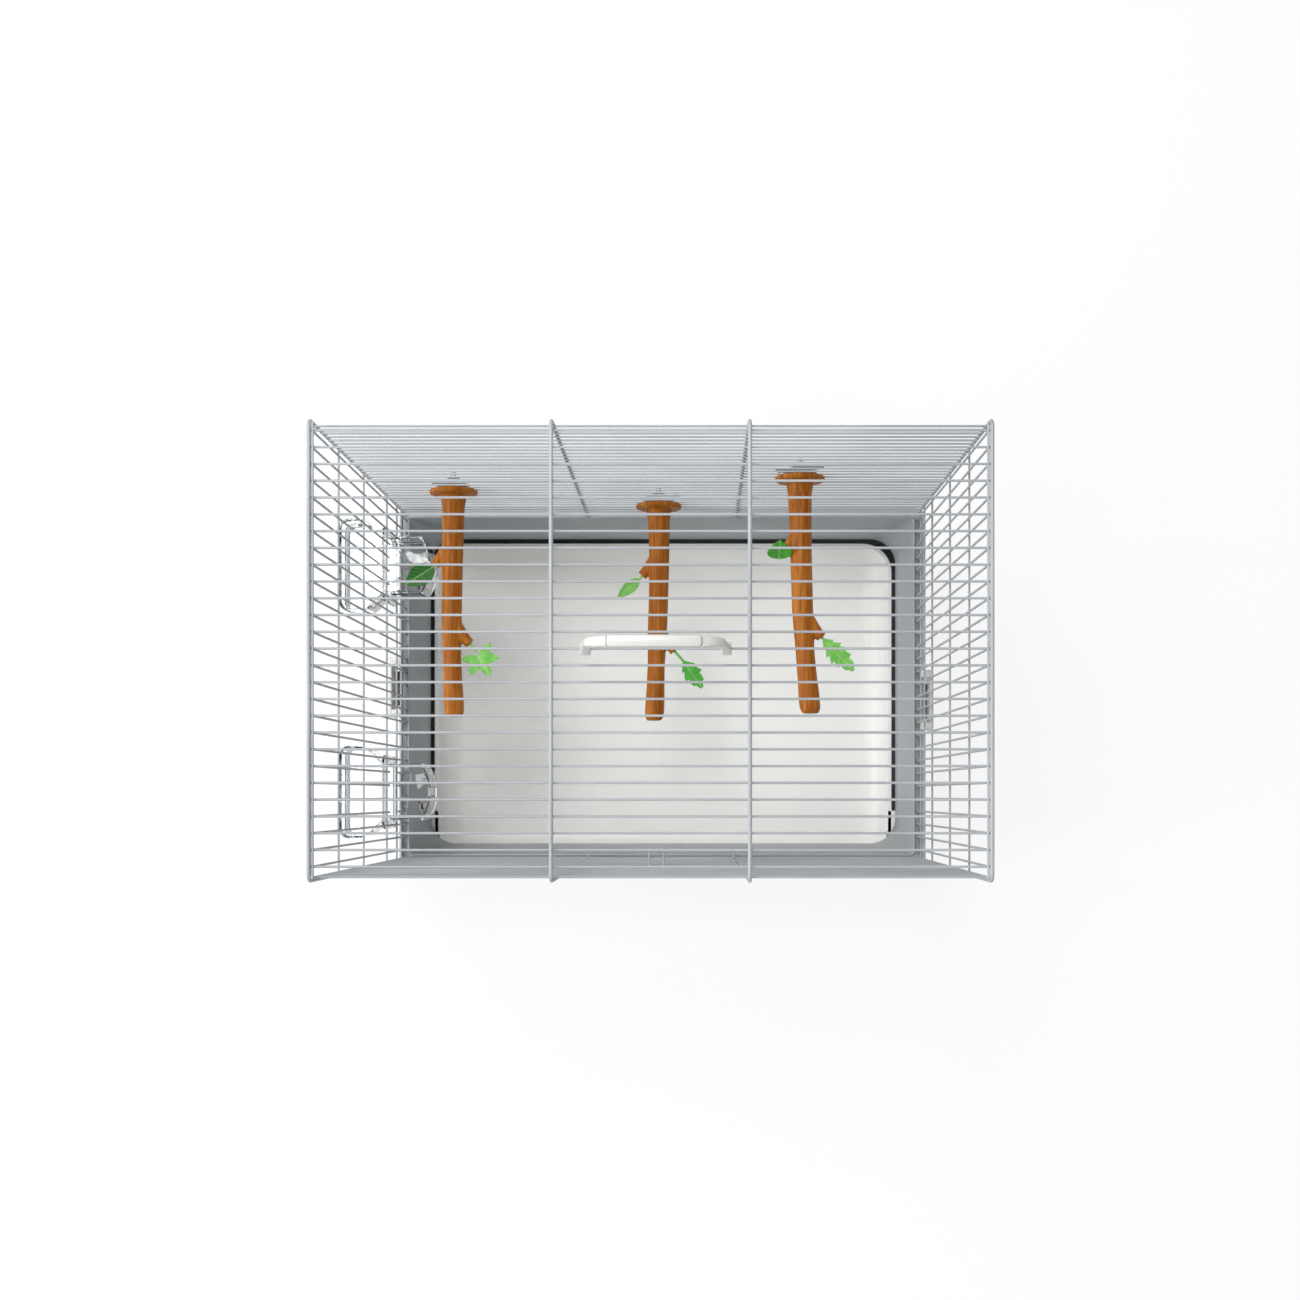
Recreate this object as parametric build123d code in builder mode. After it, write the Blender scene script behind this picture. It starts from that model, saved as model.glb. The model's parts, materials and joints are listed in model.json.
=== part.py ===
from build123d import *
import os
from math import cos, pi, radians, sin, sqrt, tan

os.makedirs("parts", exist_ok=True)

# Bird carrier: a welded wire cage on a grey moulded base with a pull-out tray.
# Millimetres. The origin is the centre of the base's underside, +X is the right end,
# +Y is the back wall that holds the perches, -Y is the front with the door, +Z is up.

# Wire cage
cage_length = 488.0  # between the two end hoops, centre to centre
cage_width = 329.6  # between the front and back legs of a hoop, centre to centre
cage_height = 389.0  # from the rim of the base to the wires of the roof
grille_pitch = 12.0
wire_d = 1.8  # thin wires, measured across two flats
hoop_d = 3.0  # the four bent hoops that carry the thin wires
hoop_bend_r = 6.0
bend_steps = 3  # straight steps that draw each bend of a wire
corner_steps = 6  # straight steps that draw each rounded corner of the base and the tray
cove_steps = 4  # straight steps that draw the coved edge of the tray's floor
cross_hoop_spacing = 142.0  # the two middle hoops, which also frame the door
roof_edge_margin = 5.0  # least space between a roof wire and the front or back wall
roof_wire_shift = 1.4  # the roof wires sit this much nearer the back
roof_edge_inset = 2.8  # the edge wire on the roof, in from the end hoop
first_row_depth = 9.0  # first wire of the front and back walls, below the roof wires
last_row_margin = 6.0
rail_depths = (98.0, 196.0)  # upper cross wires of the end walls, below the roof wires
feeder_top_depth = 300.0  # cross wire over the feeders
feeder_bottom_depth = 350.0  # cross wire under the feeders
latch_rail_depth = 374.0  # cross wire that the latches hook over

# Front door
wires_over_door = 16  # rows of the front wall; the door closes against the last of them
door_wire_count = 12  # the next row under them is the door's hinge wire
hinge_wire_d = 2.2
hinge_clearance = 0.06
door_frame_d = 2.4
door_bend_r = 7.0
door_eye_steps = 8  # straight steps in a full turn of the eyes round the hinge wire
door_side_gap = 1.1
door_top_drop = 3.0  # the door's top rail lies this much below the wire behind it
catch_d = 1.8
catch_width = 12.0  # between the two legs of the hairpin catch
catch_reach = 16.7  # past the wall, into the cage
catch_bend_r = 3.0
catch_tip_share = 0.97  # how round the hairpin is, 1.0 for a half circle
catch_gap = 0.3

# Moulded base
base_height = 121.0
groove_depth = 4.0  # the cage stands in a groove round the rim
groove_clearance = 0.7
rim_lip = 2.3
rim_corner_r = 7.5
flange_height = 7.0
guard_wall = 2.0
guard_inset = 7.4  # how far the guard leans in from its top to its bottom
guard_tray_gap = 2.0  # between the guard and the rim of the tray under it
guard_top_r = 5.0
guard_bottom_r = 27.0
tub_wall = 3.0
tub_draft = 4.5
tub_setback = 1.0  # the tub's wall lies this far inside the rim
tub_corner_r = 8.0

# Pull-out tray
tray_length = 456.0
tray_back_gap = 3.7  # between the tray's rim and the guard above it, seen from above
tray_rim = 2.0
tray_wall = 2.2
tray_rise = 34.7  # from its underside to its rim
tray_corner_r = 27.0
tray_cove_r = 24.0
tray_gap = 0.3
tray_side_gap = 0.6
shoulder_out = 4.6
shoulder_length = 45.0
slot_head = 1.0
fascia_wall = 3.0
finger_lip_length = 110.0
finger_lip_reach = 9.0

# Perches
perch_reach = 197.0  # from the wall to the tip
perch_r = 9.3
perch_neck_r = 10.1
perch_tip_r = 7.8
perch_end_round = 1.8
perch_flange_r = 21.0
perch_flange_wall = 5.0
branch_sides = 12
flange_sides = 20
spur_sides = 8
stem_sides = 6
spur_r = 4.6
spur_foot_share = 1.3  # how much thicker a spur is at its foot
spur_angle = 41.0
spur_places = (47.5, 116.0)  # along the branch from the wall, on its left and on its right side
spur_length = 24.0
socket_r = 1.5
socket_depth = 6.0
stud_r = 2.5
stud_length = 30.0
washer_r = 14.0
washer_wall = 1.6
nut_hub_r = 6.5
nut_hub_length = 7.0
wing_reach = 21.0
wing_broad = 15.0  # where a wing is widest
wing_width = 10.0
wing_tip_width = 6.0
wing_wall = 3.0
wing_turn = 24.0

# Leaves
leaf_wall = 1.2
stem_r = 1.2
stem_play = 0.1

# Carrying handle
handle_grip_height = 57.0  # from the wire that it turns on to the middle of the grip
handle_span = 101.0  # between the middles of the two eyes
handle_top_span = 88.0  # between the middles of the legs at the height of the grip
handle_centre_x = 4.0
handle_leg_width = 7.0
handle_depth = 9.0
handle_grip_wall = 10.0
handle_shoulder_r = 13.0
handle_leg_depth = 5.0
handle_eye_r = 4.8
handle_clearance = 0.07

# Feeder cups
feeder_width = 51.0
feeder_reach_in = 38.3
feeder_bow = 8.0
bow_steps = 4
feeder_reach_out = 44.0
feeder_width_out = 83.0
feeder_corner_r = 9.0
feeder_wall = 2.0
feeder_gap = 0.3
feeder_top_gap = 4.4
feeder_flange_margin = 6.5
feeder_opening_wires = 4  # wires of the left wall that stop short for each feeder
feeder_first_wires = (3, 20)  # the first of them, counted from the back
feeder_wire_stub = 2.0

# Latches
latch_length = 56.0
latch_arm_width = 7.0
latch_wall = 3.0
latch_gap = 0.3
latch_pivot_out = 3.7  # pivot line, out from the rim
latch_pivot_drop = 13.0  # pivot line, below the rim
latch_barrel_r = 3.2
latch_barrel_length = 24.0
latch_ear_length = 4.0
latch_pin_r = 1.5
latch_pin_clearance = 0.05
latch_centres = {"left": -2.0, "right": -14.0}

# Places worked out from the sizes above
roof_z = base_height + cage_height
hoop_x = cage_length / 2
cross_x = cross_hoop_spacing / 2
leg_y = cage_width / 2
layer = (hoop_d + wire_d) / 2
row_y = leg_y - layer
hoop_z = roof_z + layer
row_end_x = hoop_x - wire_d / 2
side_wire_x = hoop_x - wire_d
rail_end_y = leg_y - hoop_d / 2
foot_z = base_height - groove_depth
# The cross wire right under the roof ends where the bends of the hoop begin
bend_inner_r = hoop_bend_r * cos(radians(45 / bend_steps)) - hoop_d / 2
brace_rise = hoop_bend_r - layer - wire_d / 2
brace_end_y = leg_y - hoop_bend_r + sqrt(bend_inner_r**2 - max(0, brace_rise) ** 2)
groove_out_x = hoop_x + hoop_d / 2 + groove_clearance
groove_out_y = leg_y + hoop_d / 2 + groove_clearance
groove_in_x = side_wire_x - wire_d / 2 - groove_clearance
groove_in_y = row_y - wire_d / 2 - groove_clearance
rim_x = groove_out_x + rim_lip
rim_y = groove_out_y + rim_lip
guard_z = tub_wall + tray_gap + tray_rise + guard_tray_gap
flange_z = base_height - flange_height
door_top_row = wires_over_door - 1
door_bottom_row = wires_over_door + door_wire_count
roof_wire_count = int(2 * (row_y - roof_edge_margin) / grille_pitch) + 1
roof_wire_ys = [
    (roof_wire_count - 1) * grille_pitch / 2 + roof_wire_shift - grille_pitch * k
    for k in range(roof_wire_count)
]
row_count = int((cage_height - first_row_depth - last_row_margin) / grille_pitch) + 1
row_zs = [roof_z - first_row_depth - grille_pitch * k for k in range(row_count)]


def save(piece, name):
    piece.part.label = name
    export_step(piece.part, f"parts/{name}.step")


def wire_section(diameter=wire_d):
    """Section of a thin wire: eight flats, so that wires welded across each other touch face to face."""
    RegularPolygon(diameter / 2, 8, major_radius=False, rotation=22.5)


def stepped(half_x, half_y, corner_r):
    """A rectangle whose rounded corners are drawn with a few straight steps."""
    points = []
    for quarter, (side_x, side_y) in enumerate(((1, 1), (-1, 1), (-1, -1), (1, -1))):
        for k in range(corner_steps + 1):
            angle = radians(90 * (quarter + k / corner_steps))
            points.append((
                side_x * (half_x - corner_r) + corner_r * cos(angle),
                side_y * (half_y - corner_r) + corner_r * sin(angle),
            ))
    return points


def at_height(outline, z):
    return [(x, y, z) for x, y in outline]


def ring(plane, radius, sides):
    """Corners of a regular outline on a plane, such as the section of a branch."""
    angles = [2 * pi * (k + 0.5) / sides for k in range(sides)]
    return [plane.from_local_coords((radius * cos(a), radius * sin(a), 0)) for a in angles]


def stack(outlines):
    """A solid with flat sides, drawn through outlines that have as many corners each."""
    faces = [Face(Wire.make_polygon(outlines[0])), Face(Wire.make_polygon(outlines[-1]))]
    for low, high in zip(outlines, outlines[1:]):
        for k in range(len(low)):
            faces.append(Face(Wire.make_polygon([low[k - 1], low[k], high[k], high[k - 1]])))
    return Solid(Shell(faces))


def bent(points, radii):
    """A path whose corners are rounded in a few straight steps, with a radius for each corner."""
    points = [Vector(*point) for point in points]
    path = [points[0]]
    for before, corner, after, radius in zip(points, points[1:], points[2:], radii):
        back = (before - corner).normalized()
        ahead = (after - corner).normalized()
        turn = pi - radians(back.get_angle(ahead))
        centre = corner + (back + ahead).normalized() * (radius / cos(turn / 2))
        start = corner + back * (radius * tan(turn / 2)) - centre
        end = corner + ahead * (radius * tan(turn / 2)) - centre
        for k in range(bend_steps + 1):
            share = k / bend_steps
            path.append(
                centre + start * (sin((1 - share) * turn) / sin(turn)) + end * (sin(share * turn) / sin(turn))
            )
    return path + [points[-1]]


def bars(plane, centres, length, diameter=wire_d):
    """Adds straight wires that start on a plane and run along its normal."""
    with BuildSketch(plane) as section:
        with Locations(*centres):
            wire_section(diameter)
    extrude(section.sketch, amount=length)


# Roof, front and back walls

def make_roof():
    with BuildPart() as roof_wires:
        bars(Plane.YZ.offset(-hoop_x), [(y, roof_z) for y in roof_wire_ys], 2 * hoop_x)
    save(roof_wires, "roof_wires")
    edge_x = hoop_x - roof_edge_inset
    with BuildPart() as edge_wires:
        bars(
            Plane.XZ.offset(-rail_end_y),
            [(-edge_x, roof_z + wire_d), (edge_x, roof_z + wire_d)],
            2 * rail_end_y,
        )
    save(edge_wires, "roof_edge_wires")


def make_back_wall():
    with BuildPart() as back_wires:
        bars(Plane.YZ.offset(-row_end_x), [(row_y, z) for z in row_zs], 2 * row_end_x)
    save(back_wires, "back_wall_wires")


def make_front_wall():
    """Rows run right across, except beside the door, where they stop at the middle hoops."""
    whole = [z for k, z in enumerate(row_zs) if not door_top_row < k <= door_bottom_row]
    beside = row_zs[door_top_row + 1 : door_bottom_row]
    door_side = cross_x - hoop_d / 2
    hinge_side = cross_x + hoop_d / 2
    with BuildPart() as front_wires:
        bars(Plane.YZ.offset(-row_end_x), [(-row_y, z) for z in whole], 2 * row_end_x)
        for side in (-1, 1):
            start = Plane.YZ.offset(side * row_end_x)
            bars(start, [(-row_y, z) for z in beside], -side * (row_end_x - door_side))
            hinge_row = [(-row_y, row_zs[door_bottom_row])]
            bars(start, hinge_row, -side * (row_end_x - hinge_side))
    save(front_wires, "front_wall_wires")


# End walls: upright wires with cross wires outside them

def make_end_wall(name, side):
    depths = (*rail_depths, feeder_top_depth, feeder_bottom_depth, latch_rail_depth)
    with BuildPart() as rails:
        bars(
            Plane.XZ.offset(-rail_end_y),
            [(side * hoop_x, roof_z - depth) for depth in depths],
            2 * rail_end_y,
        )
        bars(Plane.XZ.offset(-brace_end_y), [(side * hoop_x, roof_z - wire_d)], 2 * brace_end_y)
    save(rails, f"{name}_wall_cross_wires")

    top_z = roof_z - wire_d / 2
    cut = []
    if name == "left":
        for first in feeder_first_wires:
            cut += roof_wire_ys[first : first + feeder_opening_wires]
    upper_end_z = roof_z - feeder_top_depth - wire_d / 2 - feeder_wire_stub
    lower_end_z = roof_z - feeder_bottom_depth + wire_d / 2
    whole = [(side * side_wire_x, y) for y in roof_wire_ys if y not in cut]
    short = [(side * side_wire_x, y) for y in cut]
    with BuildPart() as uprights:
        bars(Plane.XY.offset(foot_z), whole, top_z - foot_z)
        if short:
            bars(Plane.XY.offset(foot_z), short, lower_end_z - foot_z)
            bars(Plane.XY.offset(upper_end_z), short, top_z - upper_end_z)
    save(uprights, f"{name}_wall_upright_wires")


# Hoops: thick wires bent down over the front and back

def make_hoop(name, x):
    with BuildPart() as hoop:
        corners = [(x, -leg_y, foot_z), (x, -leg_y, hoop_z), (x, leg_y, hoop_z), (x, leg_y, foot_z)]
        with BuildLine() as bend:
            Polyline(*bent(corners, [hoop_bend_r, hoop_bend_r]))
        with BuildSketch(Plane.XY.offset(foot_z)):
            with Locations((x, -leg_y)):
                wire_section(hoop_d)
        sweep(path=bend.line, transition=Transition.RIGHT)
    save(hoop, name)


# Front door, its hinge pin and its catch

hinge_y = -rail_end_y + hinge_wire_d / 2
hinge_z = row_zs[door_bottom_row]
eye_r = hinge_wire_d / 2 + hinge_clearance + door_frame_d / 2
door_y = hinge_y - eye_r
door_side_x = cross_x - hoop_d / 2 - door_side_gap - door_frame_d / 2
door_top_z = row_zs[door_top_row] - door_top_drop


def make_door():
    hinge_end_x = cross_x + hoop_d / 2
    with BuildPart() as hinge_wire:
        with BuildSketch(Plane.YZ.offset(-hinge_end_x)):
            with Locations((hinge_y, hinge_z)):
                Circle(hinge_wire_d / 2)
        extrude(amount=2 * hinge_end_x)
    save(hinge_wire, "door_hinge_wire")

    with BuildPart() as frame:
        corners = [
            (-door_side_x, door_y, hinge_z), (-door_side_x, door_y, door_top_z),
            (door_side_x, door_y, door_top_z), (door_side_x, door_y, hinge_z),
        ]
        with BuildLine() as bend:
            Polyline(*bent(corners, [door_bend_r, door_bend_r]))
        with BuildSketch(Plane.XY.offset(hinge_z)):
            with Locations((-door_side_x, door_y)):
                wire_section(door_frame_d)
        sweep(path=bend.line, transition=Transition.RIGHT)
        # Each side ends in an eye bent round the hinge wire in straight steps
        step = 360 / door_eye_steps
        ring_r = eye_r / cos(radians(step / 2))
        angles = [radians(180 + step * (k + 0.5)) for k in range(door_eye_steps - 2)]
        for x in (-door_side_x, door_side_x):
            ring = [(x, hinge_y + ring_r * cos(a), hinge_z + ring_r * sin(a)) for a in angles]
            with BuildLine() as eye:
                Polyline((x, door_y, hinge_z), *ring)
            with BuildSketch(Plane.XY.offset(hinge_z)):
                with Locations((x, door_y)):
                    wire_section(door_frame_d)
            sweep(path=eye.line, transition=Transition.RIGHT)
    save(frame, "door_frame")

    wire_y = door_y + (door_frame_d + wire_d) / 2
    wire_end_x = door_side_x + door_frame_d / 4
    inner_rows = row_zs[door_top_row + 1 : door_bottom_row]
    with BuildPart() as door_wires:
        bars(Plane.YZ.offset(-wire_end_x), [(wire_y, z) for z in inner_rows], 2 * wire_end_x)
    save(door_wires, "door_wires")

    # The catch starts on the outside of the top rail and reaches in over the wire behind it
    catch_z = row_zs[door_top_row] + (wire_d + catch_d) / 2 + catch_gap
    catch_y = door_y - (door_frame_d + catch_d) / 2
    low_z = door_top_z - door_frame_d / 2
    half = catch_width / 2
    tip_y = -row_y + catch_reach
    with BuildPart() as catch:
        corners = [
            (-half, catch_y, low_z), (-half, catch_y, catch_z), (-half, tip_y, catch_z),
            (half, tip_y, catch_z), (half, catch_y, catch_z), (half, catch_y, low_z),
        ]
        tip_r = half * catch_tip_share
        with BuildLine() as loop:
            Polyline(*bent(corners, [catch_bend_r, tip_r, tip_r, catch_bend_r]))
        with BuildSketch(Plane.XY.offset(low_z)):
            with Locations((-half, catch_y)):
                wire_section(catch_d)
        sweep(path=loop.line, transition=Transition.RIGHT)
    save(catch, "door_catch")


# Base: tub below, guard frame with the rim and groove above

def make_tub():
    outer_x = rim_x - tub_setback
    outer_y = rim_y - tub_setback
    with BuildPart() as tub:
        foot = stepped(outer_x - tub_draft, outer_y - tub_draft, tub_corner_r)
        top = stepped(outer_x, outer_y, tub_corner_r)
        add(stack([at_height(foot, 0), at_height(top, flange_z)]))
        lean = tub_draft * tub_wall / flange_z
        inner_x = outer_x - tub_wall
        inner_y = outer_y - tub_wall
        inner_r = tub_corner_r - tub_wall
        floor = stepped(inner_x - tub_draft + lean, inner_y - tub_draft + lean, inner_r)
        mouth = stepped(inner_x, inner_y, inner_r)
        add(stack([at_height(floor, tub_wall), at_height(mouth, flange_z)]), mode=Mode.SUBTRACT)
        # Slot in the front wall for the tray
        slot_x = tray_length / 2 + shoulder_out + tray_side_gap
        slot_z = tub_wall + tray_gap + tray_rise + slot_head
        with BuildSketch(Plane.XZ.offset(outer_y - tub_draft - 2 * tub_wall)):
            with Locations((0, (tub_wall + slot_z) / 2)):
                Rectangle(2 * slot_x, slot_z - tub_wall)
        extrude(amount=2 * tub_draft + 2 * tub_wall, mode=Mode.SUBTRACT)
    save(tub, "base_tub")


def barrel_section():
    RegularPolygon(latch_barrel_r, 12)


def pin_bore():
    RegularPolygon(
        latch_pin_r + latch_pin_clearance, 8, major_radius=False, rotation=22.5, mode=Mode.SUBTRACT
    )


def latch_pivot(side):
    return side * (rim_x + latch_pivot_out), base_height - latch_pivot_drop


def make_guard_frame():
    with BuildPart() as guard:
        with BuildSketch(Plane.XY.offset(flange_z)):
            Polygon(*stepped(rim_x, rim_y, rim_corner_r), align=None)
        extrude(amount=flange_height)
        top_x = groove_in_x
        top_y = groove_in_y
        low = stepped(top_x - guard_inset, top_y - guard_inset, guard_bottom_r)
        high = stepped(top_x, top_y, guard_top_r)
        add(stack([at_height(low, guard_z), at_height(high, base_height)]))
        inner_x = top_x - guard_wall
        inner_y = top_y - guard_wall
        low = stepped(inner_x - guard_inset, inner_y - guard_inset, guard_bottom_r - guard_wall)
        high = stepped(inner_x, inner_y, guard_top_r - guard_wall)
        add(stack([at_height(low, guard_z), at_height(high, base_height)]), mode=Mode.SUBTRACT)
        with BuildSketch(Plane.XY.offset(foot_z)):
            groove_r = hoop_d / 2 + groove_clearance
            Polygon(*stepped(groove_out_x, groove_out_y, groove_r), align=None)
            Polygon(*stepped(groove_in_x, groove_in_y, guard_top_r), align=None, mode=Mode.SUBTRACT)
        extrude(amount=groove_depth, mode=Mode.SUBTRACT)
        # Ears for the latch pins on both ends
        for name, side in (("left", -1), ("right", 1)):
            pivot_x, pivot_z = latch_pivot(side)
            first = latch_centres[name] + latch_barrel_length / 2 + latch_gap
            second = latch_centres[name] - latch_barrel_length / 2 - latch_gap - latch_ear_length
            root_x = side * (rim_x - rim_lip / 2)
            for y in (first, second):
                with BuildSketch(Plane.XZ.offset(-y)):
                    with BuildLine():
                        Polyline(
                            (root_x, base_height - rim_lip),
                            (pivot_x, pivot_z + latch_barrel_r),
                            (pivot_x, pivot_z - latch_barrel_r),
                            (side * rim_x, flange_z),
                            (root_x, flange_z),
                            close=True,
                        )
                    make_face()
                    with Locations((pivot_x, pivot_z)):
                        barrel_section()
                        pin_bore()
                extrude(amount=-latch_ear_length)
    save(guard, "guard_frame")


# Pull-out tray

def coved_block(half_x, half_y, corner_r, cove_r, low_z, high_z):
    """A block whose upright and bottom edges are rounded in straight steps."""
    levels = []
    for k in range(cove_steps + 1):
        angle = radians(90 * k / cove_steps)
        inset = cove_r * (1 - sin(angle))
        outline = stepped(half_x - inset, half_y - inset, corner_r - inset)
        levels.append(at_height(outline, low_z + cove_r * (1 - cos(angle))))
    return stack(levels + [at_height(stepped(half_x, half_y, corner_r), high_z)])


def make_tray():
    low_z = tub_wall + tray_gap
    rim_z = low_z + tray_rise
    back_y = groove_in_y - guard_wall - guard_inset - tray_back_gap
    front_y = -(rim_y - tub_setback - tub_draft)
    body_x = tray_length / 2 - tray_rim
    shoulder_x = tray_length / 2 + shoulder_out
    body_y = back_y - tray_rim - front_y
    middle_y = (back_y - tray_rim + front_y) / 2
    with BuildPart() as tray:
        add(Pos(0, middle_y) * coved_block(body_x, body_y / 2, tray_corner_r, tray_cove_r, low_z, rim_z))
        with BuildSketch(Plane.XY.offset(rim_z - tray_rim)):
            with Locations((0, middle_y)):
                rim_r = tray_corner_r + tray_rim
                Polygon(*stepped(body_x + tray_rim, body_y / 2 + tray_rim, rim_r), align=None)
            with Locations((0, front_y + shoulder_length / 2)):
                Rectangle(2 * shoulder_x, shoulder_length)
        extrude(amount=tray_rim)
        with BuildSketch(Plane.XY.offset(low_z)):
            with Locations((0, front_y - fascia_wall / 2)):
                Rectangle(2 * shoulder_x, fascia_wall)
        extrude(amount=tray_rise)
        with BuildSketch(Plane.XY.offset(rim_z - fascia_wall)):
            with Locations((0, front_y - fascia_wall - finger_lip_reach / 2)):
                Rectangle(finger_lip_length, finger_lip_reach)
        extrude(amount=fascia_wall)
        lip_ends = tray.edges().filter_by(Axis.Z).group_by(Axis.Y)[0]
        chamfer(lip_ends, finger_lip_reach * 0.6)
        # Hollow, with the same cove inside
        hollow = coved_block(
            body_x - tray_wall, body_y / 2 - tray_wall, tray_corner_r - tray_wall,
            tray_cove_r - tray_wall, low_z + tray_wall, rim_z,
        )
        add(Pos(0, middle_y) * hollow, mode=Mode.SUBTRACT)
    save(tray, "pull_out_tray")


# Perches, shaped like cut branches, held to the back wall from outside

def row_gap_z(depth):
    """Height of the middle of the gap between two rows of the back wall nearest to a depth."""
    gaps = [(a + b) / 2 for a, b in zip(row_zs, row_zs[1:])]
    return min(gaps, key=lambda z: abs(z - (roof_z - depth)))


# Each perch: place along the wall, depth below the roof, sideways drift of the branch
perches = {
    "left": (-177.5, 256.0, (0.0, -1.6, 0.0)),
    "middle": (-1.2, 329.0, (0.0, -0.6, -4.6)),
    "right": (119.0, 197.0, (0.0, 2.0, 8.6)),
}
flange_back_y = row_y - wire_d / 2
# Places along a branch, as shares of its length, and its radius there
stations = (
    (0.025, perch_neck_r), (0.10, perch_neck_r), (0.24, perch_r), (0.48, perch_r),
    (0.70, perch_tip_r), (0.86, perch_tip_r), (0.955, perch_tip_r), (1.0, perch_tip_r - perch_end_round),
)


def drift_at(drift, share):
    """Sideways place of the branch at a share of its length, on a smooth curve through three places."""
    start, middle, end = drift
    return (
        start * (1 - share) * (1 - 2 * share)
        + 4 * middle * share * (1 - share)
        + end * share * (2 * share - 1)
    )


def spur_line(name, side):
    """Foot and direction of a side spur: the left one nearer the wall, the right one nearer the tip."""
    x, depth, drift = perches[name]
    along = spur_places[0] if side < 0 else spur_places[1]
    share = along / perch_reach
    foot = Vector(x + drift_at(drift, share), flange_back_y - along, row_gap_z(depth))
    turn = radians(spur_angle)
    return foot, Vector(side * sin(turn), -cos(turn), 0)


def make_perch(name):
    x, depth, drift = perches[name]
    z = row_gap_z(depth)
    with BuildPart() as perch:
        with BuildSketch(Plane.XZ.offset(-flange_back_y)):
            with Locations((x, z)):
                RegularPolygon(perch_flange_r, flange_sides)
        extrude(amount=perch_flange_wall)
        rim = perch.edges().group_by(Axis.Y)[0]
        chamfer(rim, perch_flange_wall * 0.4)
        sections = []
        for share, radius in stations:
            middle = (x + drift_at(drift, share), flange_back_y - perch_reach * share, z)
            sections.append(ring(Plane(middle, x_dir=(1, 0, 0), z_dir=(0, -1, 0)), radius, branch_sides))
        add(stack(sections))
        for side in (-1, 1):
            foot, way = spur_line(name, side)
            mouth = Plane(origin=foot + way * spur_length, z_dir=way)
            root = Plane(origin=foot, z_dir=way)
            foot_r = spur_r * spur_foot_share
            add(stack([ring(root, foot_r, spur_sides), ring(mouth, spur_r, spur_sides)]))
            with BuildSketch(mouth):
                RegularPolygon(socket_r, stem_sides)
            extrude(amount=-socket_depth, mode=Mode.SUBTRACT)
        # Hole for the stud in the back of the flange
        with BuildSketch(Plane.XZ.offset(-flange_back_y)):
            with Locations((x, z)):
                RegularPolygon(stud_r, 8)
        extrude(amount=stud_length / 2, mode=Mode.SUBTRACT)
    save(perch, f"{name}_perch")


def make_perch_fixings():
    """Studs through the back wall with a washer and a wing nut outside, one of each for a perch."""
    outside_y = row_y + wire_d / 2
    centres = [(x, row_gap_z(depth)) for x, depth, drift in perches.values()]
    with BuildPart() as studs:
        with BuildSketch(Plane.XZ.offset(-(flange_back_y - stud_length / 2))):
            with Locations(*centres):
                RegularPolygon(stud_r, 8)
        extrude(amount=-stud_length)
    save(studs, "perch_studs")

    with BuildPart() as washers:
        with BuildSketch(Plane.XZ.offset(-outside_y)):
            with Locations(*centres):
                RegularPolygon(washer_r, flange_sides)
                RegularPolygon(stud_r, 8, mode=Mode.SUBTRACT)
        extrude(amount=-washer_wall)
    save(washers, "perch_washers")

    nut_y = outside_y + washer_wall
    tip = wing_tip_width / 2
    broad = wing_width / 2
    right = [(wing_broad, -broad), (wing_reach, -tip), (wing_reach, tip), (wing_broad, broad)]
    wings = right + [(-x, -y) for x, y in right]
    with BuildPart() as nuts:
        with BuildSketch(Plane.XZ.offset(-nut_y)):
            with Locations(*centres):
                RegularPolygon(nut_hub_r, 8)
        extrude(amount=-nut_hub_length)
        with BuildSketch(Plane.XZ.offset(-nut_y - wing_wall / 2)):
            with Locations(*[Location((*centre, 0), (0, 0, wing_turn)) for centre in centres]):
                Polygon(*wings, align=None)
        extrude(amount=-wing_wall)
        with BuildSketch(Plane.XZ.offset(-nut_y)):
            with Locations(*centres):
                RegularPolygon(stud_r, 8)
        extrude(amount=-nut_hub_length, mode=Mode.SUBTRACT)
    save(nuts, "perch_wing_nuts")


# Leaves on the spurs. Each outline lies on its own plane with the stem along +x.

def oval_outline(length, width, steps):
    """A plain leaf, widest before its middle and pointed at its tip."""
    shares = [k / steps for k in range(1, steps)]
    edge = [(length * share, width / 2 * sin(pi * share**0.8)) for share in shares]
    return [(0, 0)] + edge + [(length, 0)] + [(x, -y) for x, y in reversed(edge)]


def toothed_outline(length, width, teeth):
    """A leaf with saw teeth that swell to the middle and shrink to the tip."""
    edge = []
    for k in range(teeth):
        reach = width / 2 * sin(radians(35 + 125 * (k + 0.6) / teeth))
        edge.append((length * (k + 0.9) / (teeth + 1), reach))
        edge.append((length * (k + 1.15) / (teeth + 1), reach * 0.66))
    return [(0, 0)] + edge + [(length, 0)] + [(x, -y) for x, y in reversed(edge)]


def lobed_outline(length, width, lobes):
    """Pointed lobes round the end of the stem."""
    points = [(0, 0)]
    half_turn = 28
    for k in range(lobes):
        angle = radians(half_turn * (2 * k - lobes + 1))
        reach = 1.0 - 0.12 * abs(k - lobes // 2)
        points.append((length * (0.34 + 0.66 * reach * cos(angle)), width * 0.54 * reach * sin(angle)))
        notch = angle + radians(half_turn)
        if k < lobes - 1:
            points.append((length * (0.34 + 0.32 * cos(notch)), width * 0.30 * sin(notch)))
    return points


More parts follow.
